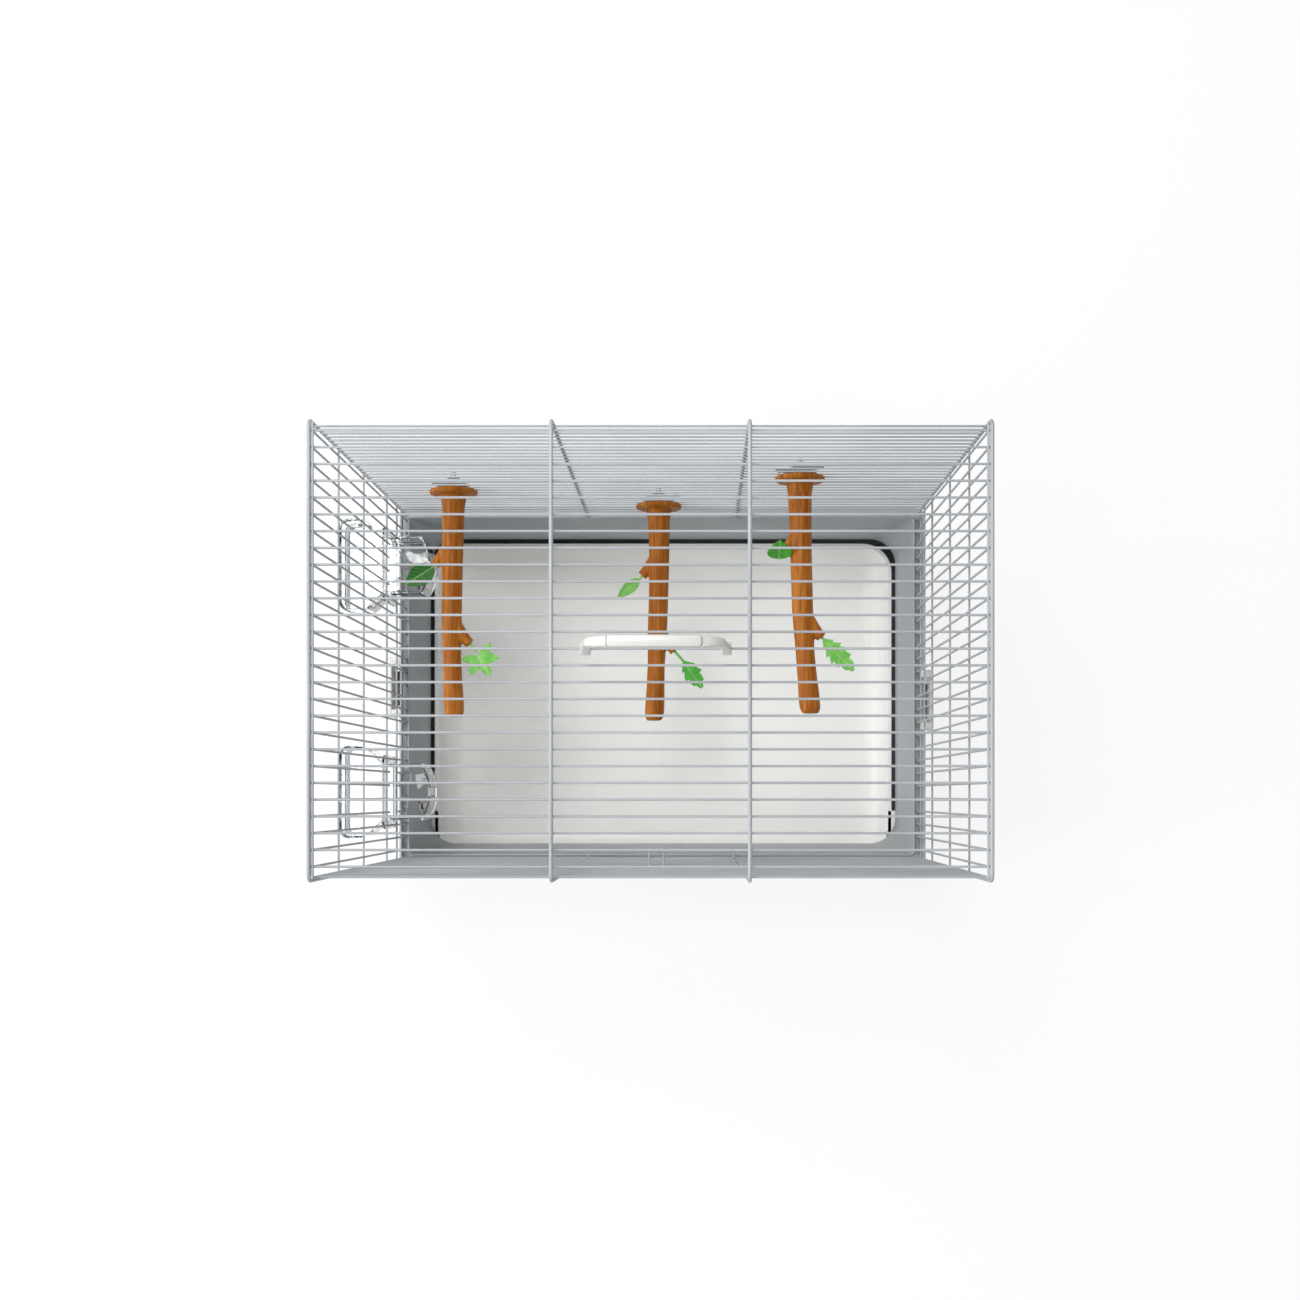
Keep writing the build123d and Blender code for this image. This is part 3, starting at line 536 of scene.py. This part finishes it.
guard_wall = 2.0
tub_wall = 3.0
tray_wall = 2.2
tray_cove = 24.0
tray_corner = 27.0
cove_levels = 7
flange_z = 114.0
tub_draft = 4.5  # the foot of the tub stands this much further in than its top
tray_slot_x = 233.2
tray_slot_top = 39.0
# Lugs for the latch pins
ear_root_x = 247.4
ear_r = 3.2
ear_wall = 4.0
ear_top_z = 118.5
ear_gap = 12.3  # from the middle of a latch to the inside of an ear
pin_out = 3.7  # from the outside of the rim
pin_drop = 13.0  # below the top of the rim


def tub():
    low, high = corners("base_tub")
    foot = (high.x - tub_draft, high.y - tub_draft)
    mesh = bmesh.new()
    rings = [
        outline(mesh, foot[0] - 1.2, foot[1] - 1.2, 6.8, 0.0),
        outline(mesh, foot[0] - 0.4, foot[1] - 0.4, 7.6, 0.4),
        outline(mesh, foot[0] + 0.1, foot[1] + 0.1, 8.0, 1.4),
        outline(mesh, high.x, high.y, 8.0, high.z),
        outline(mesh, high.x - tub_wall, high.y - tub_wall, 5.0, high.z),
        outline(mesh, foot[0] - tub_wall, foot[1] - tub_wall, 5.0, tub_wall),
    ]
    loft(mesh, rings)
    made = finished("tub_moulding", mesh, "base_tub")
    front, reach = -high.y, 9.0
    cutter_mesh = bmesh.new()
    block(
        cutter_mesh, (-tray_slot_x, front - reach, tub_wall),
        (tray_slot_x, front + reach, tray_slot_top), 1.0,
    )
    bmesh.ops.scale(cutter_mesh, vec=(mm, mm, mm), verts=cutter_mesh.verts)
    data = bpy.data.meshes.new("slot")
    cutter_mesh.to_mesh(data)
    cutter_mesh.free()
    cutter = bpy.data.objects.new("slot", data)
    bpy.context.collection.objects.link(cutter)
    cut = made.modifiers.new("slot", "BOOLEAN")
    cut.operation = "DIFFERENCE"
    cut.object = cutter
    bpy.context.view_layer.update()
    seen = made.evaluated_get(bpy.context.evaluated_depsgraph_get())
    result = bpy.data.meshes.new_from_object(seen)
    made.modifiers.clear()
    made.data = result
    bpy.data.objects.remove(cutter)


def ear(mesh, side, y, pivot_x, pivot_z):
    """A lug that holds the end of a latch pin, run into the rim behind it."""
    root_x = side * ear_root_x
    verts = []
    for place in (y, y + ear_wall):
        made = bmesh.ops.create_circle(
            mesh, cap_ends=False, radius=ear_r, segments=24,
            matrix=facing((0, 1, 0), (pivot_x, place, pivot_z)),
        )
        verts += made["verts"]
        for z in (flange_z + 0.2, ear_top_z):
            verts += bmesh.ops.create_vert(mesh, co=(root_x, place, z))["vert"]
    made = bmesh.ops.convex_hull(mesh, input=verts)
    bmesh.ops.delete(mesh, geom=made["geom_unused"] + made["geom_interior"], context="VERTS")


def guard():
    high = corners("base_tub")[1]
    top = corners("guard_frame")[1].z
    foot = corners("guard_frame")[0].z
    rim_x, rim_y = high.x + 1.0, high.y + 1.0
    rim_wall = 2.3
    # The groove for the cage runs between the rim and the guard's wall
    wall_x, wall_y = rim_x - 7.9, rim_y - 8.5
    slope = 7.4  # the guard narrows by this down to its foot
    mesh = bmesh.new()
    rings = [
        outline(mesh, wall_x - slope - guard_wall, wall_y - slope - guard_wall, 25.0, foot + 0.6),
        outline(mesh, wall_x - guard_wall, wall_y - guard_wall, 3.0, top - 0.6),
        outline(mesh, wall_x - guard_wall + 0.6, wall_y - guard_wall + 0.6, 3.6, top),
        outline(mesh, wall_x - 0.5, wall_y - 0.5, 4.5, top),
        outline(mesh, wall_x, wall_y, 5.0, top - 0.5),
        outline(mesh, wall_x, wall_y, 5.0, top - 4.0),
        outline(mesh, rim_x - rim_wall, rim_y - rim_wall, 2.2, top - 4.0),
        outline(mesh, rim_x - rim_wall, rim_y - rim_wall, 2.2, top - 0.6),
        outline(mesh, rim_x - 1.7, rim_y - 1.7, 5.8, top),
        outline(mesh, rim_x - 0.8, rim_y - 0.8, 6.7, top),
        outline(mesh, rim_x - 0.2, rim_y - 0.2, 7.3, top - 0.4),
        outline(mesh, rim_x, rim_y, 7.5, top - 1.0),
        outline(mesh, rim_x, rim_y, 7.5, flange_z + 0.5),
        outline(mesh, rim_x - 0.5, rim_y - 0.5, 7.0, flange_z),
        outline(mesh, rim_x - 3.0, rim_y - 3.0, 7.0, flange_z + 0.05),
        outline(mesh, rim_x - 5.8, rim_y - 6.0, 7.0, flange_z + 0.05),
        outline(mesh, wall_x - 0.7, wall_y - 0.7, 7.0, flange_z),
        outline(mesh, wall_x - slope, wall_y - slope, 27.0, foot + 0.6),
        outline(mesh, wall_x - 8.4, wall_y - 8.4, 26.0, foot),
    ]
    loft(mesh, rings, closed=True)
    for name, side in (("left_latch", -1), ("right_latch", 1)):
        low, high_corner = corners(name)
        middle = (low.y + high_corner.y) / 2
        pivot_x = side * (rim_x + pin_out)
        for y in (middle + ear_gap, middle - ear_gap - ear_wall):
            ear(mesh, side, y, pivot_x, top - pin_drop)
    finished("guard_moulding", mesh, "guard_frame", crease=50.0)


def tray():
    low, high = corners("pull_out_tray")
    rim_z = high.z
    foot = low.z
    body_x, back_y, front_y = 226.0, high.y - 2.0, -163.8
    half_y = (back_y - front_y) / 2
    middle = (0.0, (back_y + front_y) / 2)
    mesh = bmesh.new()

    def level(inset, z):
        return outline(
            mesh, body_x - inset, half_y - inset, max(tray_corner - inset, 2.5), z, middle, 12
        )

    coves = [radians(90 * k / cove_levels) for k in range(cove_levels + 1)]
    inner_r = tray_cove - tray_wall
    rings = [level(tray_cove * (1 - sin(a)), foot + tray_cove * (1 - cos(a))) for a in coves]
    rings += [
        level(0.0, rim_z - 2.4), level(-1.6, rim_z - 2.0), level(-2.0, rim_z - 1.5),
        level(-2.0, rim_z - 0.5), level(-1.5, rim_z), level(tray_wall - 0.6, rim_z),
        level(tray_wall, rim_z - 0.8),
    ]
    rings += [
        level(tray_wall + inner_r * (1 - sin(a)), foot + tray_wall + inner_r * (1 - cos(a)))
        for a in reversed(coves)
    ]
    loft(mesh, rings)
    # Shoulders that fill the corners behind the front plate, the plate and the lip for the fingers
    shoulder_in, shoulder, shoulder_back = 222.0, 232.6, front_y + 45.0
    lip = 55.0
    for side in (-1, 1):
        inner, outer = sorted((side * shoulder_in, side * shoulder))
        block(mesh, (inner, front_y - 1.0, rim_z - 2.0), (outer, shoulder_back, rim_z), 0.5)
    block(mesh, (-shoulder, front_y - 3.0, foot), (shoulder, front_y, rim_z), 0.8)
    block(mesh, (-lip, low.y, rim_z - 3.0), (lip, front_y - 2.0, rim_z), 1.2)
    finished("tray_moulding", mesh, "pull_out_tray")


# Perches and what holds them to the back wall

perch_reach = 197.0
wall_y = 161.5
spur_places = {-1: 47.5, 1: 116.0}
spur_turn = radians(41.0)
spur_length = 24.0
# Share of the reach, radius and the swell to one side, as on a cut branch
branch_sections = (
    (0.00, 13.0, 0.0), (0.03, 11.0, 0.0), (0.07, 9.9, 0.0), (0.15, 9.5, 0.2), (0.24, 9.2, 0.3),
    (0.34, 9.0, 0.2), (0.44, 8.9, 0.1), (0.55, 8.9, -0.2), (0.66, 8.3, -0.3), (0.75, 7.9, -0.2),
    (0.84, 8.2, 0.1), (0.92, 8.8, 0.3), (0.965, 8.8, 0.3), (0.988, 8.1, 0.3), (1.0, 6.2, 0.3),
)
# Depth in front of the wall and radius of a perch's flange
flange_sections = ((0.0, 19.6), (0.9, 20.8), (3.4, 20.8), (4.4, 19.8), (5.2, 17.0))
branch_root = 2.0  # a branch starts this deep in its flange
# Place along a spur and radius; the last one is the bottom of its mouth
spur_sections = (
    (2.0, 7.4), (9.0, 6.3), (14.0, 5.2), (20.0, 4.5), (23.2, 4.6), (24.0, 4.1), (22.0, 2.6),
)
# Place along the wall, and drift of the middle and of the tip
perches = {
    "left": (-177.5, -1.6, 0.0),
    "middle": (-1.2, -0.6, -4.6),
    "right": (119.0, 2.0, 8.6),
}


def perch_height(name):
    low, high = corners(name + "_perch")
    return (low.z + high.z) / 2


def drift_at(name, share):
    middle, end = perches[name][1:]
    return 4 * middle * share * (1 - share) + end * share * (2 * share - 1)


def spur_line(name, side):
    x = perches[name][0]
    share = spur_places[side] / perch_reach
    foot = Vector((x + drift_at(name, share), wall_y - spur_places[side], perch_height(name)))
    return foot, Vector((side * sin(spur_turn), -cos(spur_turn), 0.0))


def tapered(mesh, sections, sides=24):
    """A closed form through round sections: place, way and radius of each."""
    rings = []
    for at, way, radius in sections:
        made = bmesh.ops.create_circle(
            mesh, cap_ends=True, radius=radius, segments=sides, matrix=facing(way, at)
        )
        rings.append(made["verts"][0].link_faces[0])
    loft(mesh, rings)


def perch(name):
    x = perches[name][0]
    z = perch_height(name)
    mesh = bmesh.new()
    back = (0.0, -1.0, 0.0)
    flange = [((x, wall_y - depth, z), back, radius) for depth, radius in flange_sections]
    tapered(mesh, flange, 40)
    branch = []
    for share, radius, swell in branch_sections:
        y = wall_y - branch_root - (perch_reach - branch_root) * share
        branch.append(((x + drift_at(name, share) + swell, y, z), back, radius))
    tapered(mesh, branch)
    for side in (-1, 1):
        foot, way = spur_line(name, side)
        tapered(mesh, [(foot + way * along, way, radius) for along, radius in spur_sections], 20)
    made = finished(name + "_branch", mesh, name + "_perch")
    knit = made.modifiers.new("one_moulding", "REMESH")
    knit.mode = "VOXEL"
    knit.voxel_size = 0.9 * mm
    knit.use_smooth_shade = True
    calm = made.modifiers.new("soft_joins", "SMOOTH")
    calm.factor = 0.5
    calm.iterations = 5


stud_r = 2.4
# Depth and radius of a washer, and of the hub of a wing nut
washer_sections = ((0.0, 13.6), (0.3, 14.0), (1.2, 14.0), (1.6, 13.4))
hub_sections = ((0.0, 6.3), (0.3, 6.5), (5.8, 5.9), (6.8, 5.0), (7.0, 4.2))
wing_tilt = radians(24.0)
wing_depth = 3.0
wing_thickness = 2.8
# Distance from the hub's middle and half height of a wing
wing_tip = (20.8, 3.2)
wing_root = (4.0, 4.6)


def fixings():
    washer_low, washer_high = corners("perch_washers")
    stud_low, stud_high = corners("perch_studs")
    nut_y = washer_high.y
    out = (0.0, 1.0, 0.0)
    studs, washers, nuts = bmesh.new(), bmesh.new(), bmesh.new()
    for name in perches:
        x = perches[name][0]
        z = perch_height(name)
        rod(studs, (x, stud_low.y, z), (x, stud_high.y, z), stud_r)
        washer = [((x, washer_low.y + depth, z), out, radius) for depth, radius in washer_sections]
        tapered(washers, washer, 32)
        hub = [((x, nut_y + depth, z), out, radius) for depth, radius in hub_sections]
        tapered(nuts, hub, 24)
        turn = Matrix.Translation((x, 0.0, z)) @ Matrix.Rotation(-wing_tilt, 4, "Y")
        for side in (-1, 1):
            wing = bmesh.ops.create_cube(nuts, size=1.0)["verts"]
            for vert in wing:
                reach, half = wing_tip if side * vert.co.x > 0 else wing_root
                y = nut_y + wing_depth + wing_thickness * vert.co.y
                vert.co = Vector((side * reach, y, 2 * half * vert.co.z))
            faces = {face for vert in wing for face in vert.link_faces}
            bmesh.ops.transform(nuts, matrix=turn, verts=wing)
            soften(nuts, list({edge for face in faces for edge in face.edges}), 1.0, 3)
    finished("stud_rods", studs, "perch_studs")
    finished("washer_discs", washers, "perch_washers")
    finished("wing_nut_mouldings", nuts, "perch_wing_nuts")


# Leaves

def oval_reach(along):
    return sin(pi * along ** 0.8) ** 0.85


def toothed_reach(along, teeth):
    saw = (along * (teeth + 0.6)) % 1.0
    return sin(radians(12 + 160 * along)) * (0.66 + 0.40 * saw)


def maple_reach(turn):
    """Reach of a five-lobed leaf at an angle from its midrib."""
    lobe = abs(((turn / 28.0) + 1) % 2 - 1)
    taper = 1.0 - 0.20 * abs(turn) / 112.0
    notch = 1.0 - 0.47 * lobe
    return taper * notch * (1.0 + 0.05 * cos(turn * 0.67))


# Perch, side, form, length, width, stem, heading from the spur, tilt
leaves = {
    "left_perch_oval_leaf": ("left", -1, "oval", 29.0, 19.0, 2.5, 16.0, 8.0),
    "left_perch_lobed_leaf": ("left", 1, "maple", 27.0, 38.0, 7.0, -11.0, 6.0),
    "middle_perch_oval_leaf": ("middle", -1, "oval", 27.0, 11.0, 4.0, 8.0, 10.0),
    "middle_perch_toothed_leaf": ("middle", 1, "toothed", 30.0, 17.0, 13.0, -6.0, 12.0),
    "right_perch_upright_leaf": ("right", -1, "oval", 24.0, 20.0, 3.0, 139.0, 66.0),
    "right_perch_toothed_leaf": ("right", 1, "toothed", 36.0, 18.0, 3.0, 3.0, 5.0),
}
leaf_wall = 1.2
stem_r = 1.2
midrib_r = 0.8
maple_spread = 142.0  # degrees from the midrib to the last lobe


def leaf(node):
    name, side, form, length, width, stem, heading, tilt = leaves[node]
    foot, way = spur_line(name, side)
    mouth = foot + way * spur_length
    out = Matrix.Rotation(radians(side * heading), 3, "Z") @ way
    stem_end = mouth + way * stem
    across = out.cross(Vector((0, 0, 1))).normalized()
    out = Matrix.Rotation(radians(tilt), 3, across) @ out
    up = across.cross(out).normalized()
    side_way = up.cross(out)
    origin = stem_end - out * stem_r
    teeth = 3 if "middle" in node else 5
    columns, rows = (112, 10) if form == "maple" else (60, 12)
    mesh = bmesh.new()
    ways = mesh.loops.layers.uv.new("blade")
    bmesh.ops.create_grid(mesh, x_segments=columns, y_segments=rows, size=1.0)
    place_of = {}
    for vert in mesh.verts:
        along, wide = (vert.co.x + 1) / 2, vert.co.y
        if form == "maple":
            turn = vert.co.x * maple_spread
            reach = (vert.co.y + 1) / 2 * maple_reach(turn)
            u = length * (0.30 + 0.70 * reach * cos(radians(turn)))
            v = width * 0.52 * reach * sin(radians(turn))
        else:
            half = oval_reach(along) if form == "oval" else toothed_reach(along, teeth)
            u, v = length * along, width / 2 * half * wide
        fold = 0.10 * abs(v) + 0.0035 * v * v * (0.5 if form == "maple" else 1.0)
        curl = 2.2 * (u / length) ** 2
        place_of[vert] = (u, v)
        vert.co = origin + out * u + side_way * v + up * (fold - curl)
    for face in mesh.faces:
        for loop in face.loops:
            u, v = place_of[loop.vert]
            loop[ways].uv = (u / length, v / width)
    bmesh.ops.remove_doubles(mesh, verts=mesh.verts, dist=0.01)
    bmesh.ops.recalc_face_normals(mesh, faces=mesh.faces)
    if sum((face.normal for face in mesh.faces), Vector()).dot(up) < 0:
        bmesh.ops.reverse_faces(mesh, faces=mesh.faces)
    blade = list(mesh.verts) + list(mesh.edges) + list(mesh.faces)
    bmesh.ops.solidify(mesh, geom=blade, thickness=leaf_wall)
    rod(mesh, mouth - way * 4.0, stem_end + way * 0.6, stem_r, 12)
    midrib_end = stem_end + out * length * 0.55 - up * 1.0
    rod(mesh, stem_end - out * 0.6 - up * 0.5, midrib_end, midrib_r, 10)
    finished(node + "_blade", mesh, node, crease=60.0)


# Handle, feeder cups and latches

handle_eye_r = 4.8
handle_eye_in = 3.5  # from the outside of the handle to the middle of an eye
handle_splay = 6.5
shoulder_r = 13.0
grip_half_y = 4.5
grip_half_z = 5.0
leg_start = 3.0  # above the pivot
# Share of a leg's straight run, half width and half depth
leg_sections = ((0.0, 3.4, 2.4), (0.25, 3.3, 2.5), (0.7, 3.3, 2.5), (1.0, 3.5, 2.7))
shoulder_sections = 6
eye_ring_r = 2.93


def square_to(way):
    """Turns a section to face along a leg of the handle, with its depth along y."""
    depth = Vector((0.0, 1.0, 0.0))
    return Matrix((depth.cross(way), depth, way)).transposed().to_4x4()


def eye(mesh, centre):
    """The ring at the foot of a leg, round the roof wire."""
    ring = bmesh.new()
    face = outline(ring, 3.5, 1.85, 0.7, 0.0, segments=3)
    stand = Matrix.Translation(centre) @ Matrix.Translation((0, 0, eye_ring_r))
    stand = stand @ Matrix.Rotation(pi / 2, 4, "X")
    bmesh.ops.transform(ring, matrix=stand, verts=ring.verts)
    edges = list(ring.edges)
    bmesh.ops.delete(ring, geom=[face], context="FACES_ONLY")
    bmesh.ops.spin(
        ring, geom=edges, cent=centre, axis=(1, 0, 0), angle=2 * pi,
        steps=32, use_duplicate=False, use_merge=True,
    )
    join(mesh, ring)


def handle():
    low, high = corners("carry_handle")
    pivot_y = (low.y + high.y) / 2
    pivot_z = low.z + handle_eye_r
    grip_z = high.z - grip_half_z
    middle = (low.x + high.x) / 2
    half = (high.x - low.x) / 2 - handle_eye_in
    lean = atan2(handle_splay, grip_z - pivot_z)
    mesh = bmesh.new()
    grip = half - handle_splay - shoulder_r + 2.0
    block(
        mesh, (middle - grip, pivot_y - grip_half_y, grip_z - grip_half_z),
        (middle + grip, pivot_y + grip_half_y, grip_z + grip_half_z), 3.0,
    )
    for side in (-1, 1):
        x = middle + side * half
        foot = Vector((x, pivot_y, pivot_z + leg_start))
        up = Vector((-side * sin(lean), 0.0, cos(lean)))
        knee = foot + up * (grip_z - pivot_z - leg_start - shoulder_r)
        legs = [(foot.lerp(knee, share), up, wide, deep) for share, wide, deep in leg_sections]
        inward = Vector((-side, 0.0, 0.0))
        axis = up.cross(inward).normalized()
        centre = knee + Matrix.Rotation(pi / 2, 3, axis) @ up * shoulder_r
        for k in range(1, shoulder_sections + 1):
            turned = Matrix.Rotation((pi / 2 - lean) * k / shoulder_sections, 3, axis)
            at = centre + turned @ (knee - centre)
            legs.append((at, turned @ up, 3.5 + 0.2 * k, 2.7 + 0.25 * k))
        rings = []
        for at, way, wide, deep in legs:
            before = set(mesh.verts)
            rings.append(outline(mesh, wide, deep, 1.6, 0.0, segments=4))
            fresh = [vert for vert in mesh.verts if vert not in before]
            turn = Matrix.Translation(at) @ square_to(way)
            bmesh.ops.transform(mesh, matrix=turn, verts=fresh)
        loft(mesh, rings)
        eye(mesh, (x, pivot_y, pivot_z))
    finished("handle_moulding", mesh, "carry_handle", crease=45.0)


# Plan of a feeder cup, with x from the hoop at the left end of the cage
cup_wall_x = -244.0
cup_half = 25.5
cup_half_out = 41.5
cup_corner = 9.0
cup_tip = 38.3
cup_bow = 8.0
cup_end = -44.0
cup_flare = -4.8
cup_flare_run = 16.0
cup_foot_margin = 6.5
cup_top_margin = 10.9
flange_x = -245.2
flange_half_y = 33.2


def cup_face(mesh, inset, z, middle_y):
    """Plan of a feeder cup at a height: bowed inside the cage, wide and rounded outside it."""
    half, half_out, corner = cup_half - inset, cup_half_out - inset, cup_corner - inset
    wide, end, tip = cup_flare - cup_flare_run + inset, cup_end + inset, cup_tip - inset
    turns = [radians(9 * k) for k in range(11)]
    upper = [(end + corner * (1 - cos(a)), half_out - corner * (1 - sin(a))) for a in turns]
    upper += [
        (wide - 3.0, half_out), (wide, half_out - 0.8),
        (cup_flare - 1.5, half + 1.6), (cup_flare, half + 0.4), (0.0, half),
    ]
    shares = [1 - k / 10 for k in range(10)]
    upper += [(tip - cup_bow * share ** 2, half * share) for share in shares]
    points = upper + [(tip, 0.0)] + [(x, -y) for x, y in reversed(upper)]
    return mesh.faces.new([mesh.verts.new((cup_wall_x + x, middle_y + y, z)) for x, y in points])


def cup(node):
    low, high = corners(node)
    middle_y = (low.y + high.y) / 2
    middle_z = (low.z + high.z) / 2
    foot = low.z + cup_foot_margin
    top = high.z - cup_top_margin
    mesh = bmesh.new()
    # Inset and height, up the outside and down the inside
    walls = (
        (0.8, foot), (0.0, foot + 0.8), (0.0, top - 0.6), (0.5, top),
        (1.5, top), (2.0, top - 0.6), (2.0, foot + 3.0), (3.0, foot + 2.0),
    )
    loft(mesh, [cup_face(mesh, inset, z, middle_y) for inset, z in walls])

    plate = bmesh.new()
    half_z = (high.z - low.z) / 2
    edge = (half_z - 0.4, flange_half_y - 0.4, 8.6)
    full = (half_z, flange_half_y, 9.0)
    hole = ((top - foot) / 2 + 0.1, 25.8, 1.0)
    levels = ((edge, 0.0), (full, 0.5), (full, 1.5), (edge, 2.0), (hole, 2.0), (hole, 0.0))
    rings = [outline(plate, *size, z) for size, z in levels]
    rise = (foot + top) / 2 - middle_z
    for ring in rings[4:]:
        bmesh.ops.translate(plate, verts=ring.verts, vec=(rise, 0.0, 0.0))
    loft(plate, rings, closed=True)
    stand = Matrix.Translation((flange_x, middle_y, middle_z)) @ Matrix.Rotation(-pi / 2, 4, "Y")
    bmesh.ops.transform(plate, matrix=stand, verts=plate.verts)
    join(mesh, plate)
    finished(node + "_shell", mesh, node, crease=40.0)


latch_pivot_x = 252.2
latch_pivot_z = 108.0
latch_wall = 3.0
hook_width = 7.0
barrel_r = 3.2
barrel_half = 12.0
web_half = 11.7
rib_place = 9.0
rib_half = 0.9


def latch(node):
    low, high = corners(node)
    side = -1 if high.x < 0 else 1
    middle = (low.y + high.y) / 2
    pivot_x = side * latch_pivot_x
    pivot_z = latch_pivot_z
    plate_z = pivot_z + 3.8
    outer = pivot_x + side * latch_wall
    mesh = bmesh.new()
    wide = sorted((pivot_x, outer))
    block(mesh, (wide[0], low.y, plate_z), (wide[1], high.y, high.z), 0.9)
    inner = low.x if side > 0 else high.x
    reach = sorted((inner, pivot_x + side * 1.5))
    for y in (low.y, high.y - hook_width):
        block(mesh, (reach[0], y, high.z - 3.0), (reach[1], y + hook_width, high.z), 0.8)
    ends = [(pivot_x, middle - barrel_half, pivot_z), (pivot_x, middle + barrel_half, pivot_z)]
    rod(mesh, *ends, barrel_r, 24, 0.12)
    web = sorted((pivot_x + side * 0.4, outer))
    block(mesh, (web[0], middle - web_half, pivot_z), (web[1], middle + web_half, plate_z + 2.0), 0.5)
    # Two ribs that stiffen the plate where the thumb presses
    for y in (middle - rib_place, middle + rib_place):
        rib_low = (wide[0] - 0.4, y - rib_half, plate_z + 3.0)
        block(mesh, rib_low, (wide[1] + 0.4, y + rib_half, high.z - 5.0), 0.3)
    finished(node + "_moulding", mesh, node)


for name, node in (
    ("roof_rods", "roof_wires"), ("roof_edge_rods", "roof_edge_wires"),
    ("back_wall_rods", "back_wall_wires"), ("front_wall_rods", "front_wall_wires"),
    ("left_cross_rods", "left_wall_cross_wires"), ("right_cross_rods", "right_wall_cross_wires"),
    ("left_upright_rods", "left_wall_upright_wires"), ("right_upright_rods", "right_wall_upright_wires"),
):
    straight_wires(name, node)
for name in hoop_names:
    hoop(name)
door()
tub()
guard()
tray()
for name in perches:
    perch(name)
fixings()
for node in leaves:
    leaf(node)
handle()
for node in ("rear_feeder_cup", "front_feeder_cup"):
    cup(node)
for node in ("left_latch", "right_latch"):
    latch(node)
straight_wires("latch_pin_rods", "latch_pins", 1.5)


# Floor and light

def studio():
    ground = bmesh.new()
    bmesh.ops.create_grid(ground, x_segments=1, y_segments=1, size=40.0)
    mesh = bpy.data.meshes.new("floor")
    ground.to_mesh(mesh)
    floor = bpy.data.objects.new("floor", mesh)
    bpy.context.collection.objects.link(floor)
    paper = linear(236, 236, 236)
    finish = Finish("floor_paper", Base_Color=paper, Roughness=0.9, Specular_IOR_Level=0.0)
    tree = finish.tree
    seen = finish.node("LightPath", output="Is Camera Ray")
    glow = tree.nodes.new("ShaderNodeEmission")
    mixer = tree.nodes.new("ShaderNodeMixShader")
    tree.links.new((seen * 0.8).socket, mixer.inputs[0])
    tree.links.new(finish.shader.outputs[0], mixer.inputs[1])
    tree.links.new(glow.outputs[0], mixer.inputs[2])
    tree.links.new(mixer.outputs[0], tree.nodes["Material Output"].inputs["Surface"])
    mesh.materials.append(finish.material)

    world = bpy.data.worlds.new("studio")
    bpy.context.scene.world = world
    world.use_nodes = True
    nodes = world.node_tree.nodes
    sky = nodes["Background"]
    sky.inputs["Strength"].default_value = 0.46
    white = nodes.new("ShaderNodeBackground")
    path = nodes.new("ShaderNodeLightPath")
    mix = nodes.new("ShaderNodeMixShader")
    links = world.node_tree.links
    links.new(path.outputs["Is Camera Ray"], mix.inputs[0])
    links.new(sky.outputs[0], mix.inputs[1])
    links.new(white.outputs[0], mix.inputs[2])
    links.new(mix.outputs[0], nodes["World Output"].inputs["Surface"])
    sky.inputs["Color"].default_value = (1.0, 1.0, 1.0, 1.0)
    white.inputs["Color"].default_value = (1.0, 1.0, 1.0, 1.0)

    for name, place, aim, size, power in (
        ("left_softbox", (-2.2, -0.3, 1.5), (0.0, 0.0, 0.2), 1.2, 44.0),
        ("front_softbox", (0.4, -2.2, 1.8), (0.0, 0.0, 0.2), 1.4, 10.0),
        ("top_softbox", (-0.5, 1.0, 2.6), (0.0, 0.0, 0.2), 1.0, 44.0),
    ):
        light = bpy.data.lights.new(name, "AREA")
        light.size = size
        light.energy = power
        lamp = bpy.data.objects.new(name, light)
        lamp.location = place
        lamp.rotation_euler = (Vector(aim) - Vector(place)).to_track_quat("-Z", "Y").to_euler()
        bpy.context.collection.objects.link(lamp)


def camera():
    """Straight down, with the picture's own frame shifted off the line of sight."""
    lens = bpy.data.cameras.new("photo_camera")
    film_width = 36.0
    picture_px, focal_px = 1300.0, 1670.0
    shift_x_px, shift_y_px = -45.0, 145.0
    lens.sensor_width = film_width
    lens.lens = film_width * focal_px / picture_px
    lens.shift_x = shift_x_px / picture_px
    lens.shift_y = shift_y_px / picture_px
    lens.clip_start = 0.05
    seat = bpy.data.objects.new("photo_camera", lens)
    seat.location = (0.0318, -0.1033, 1.704)
    bpy.context.collection.objects.link(seat)
    bpy.context.scene.camera = seat


studio()
camera()
bpy.context.scene.view_settings.view_transform = "Standard"
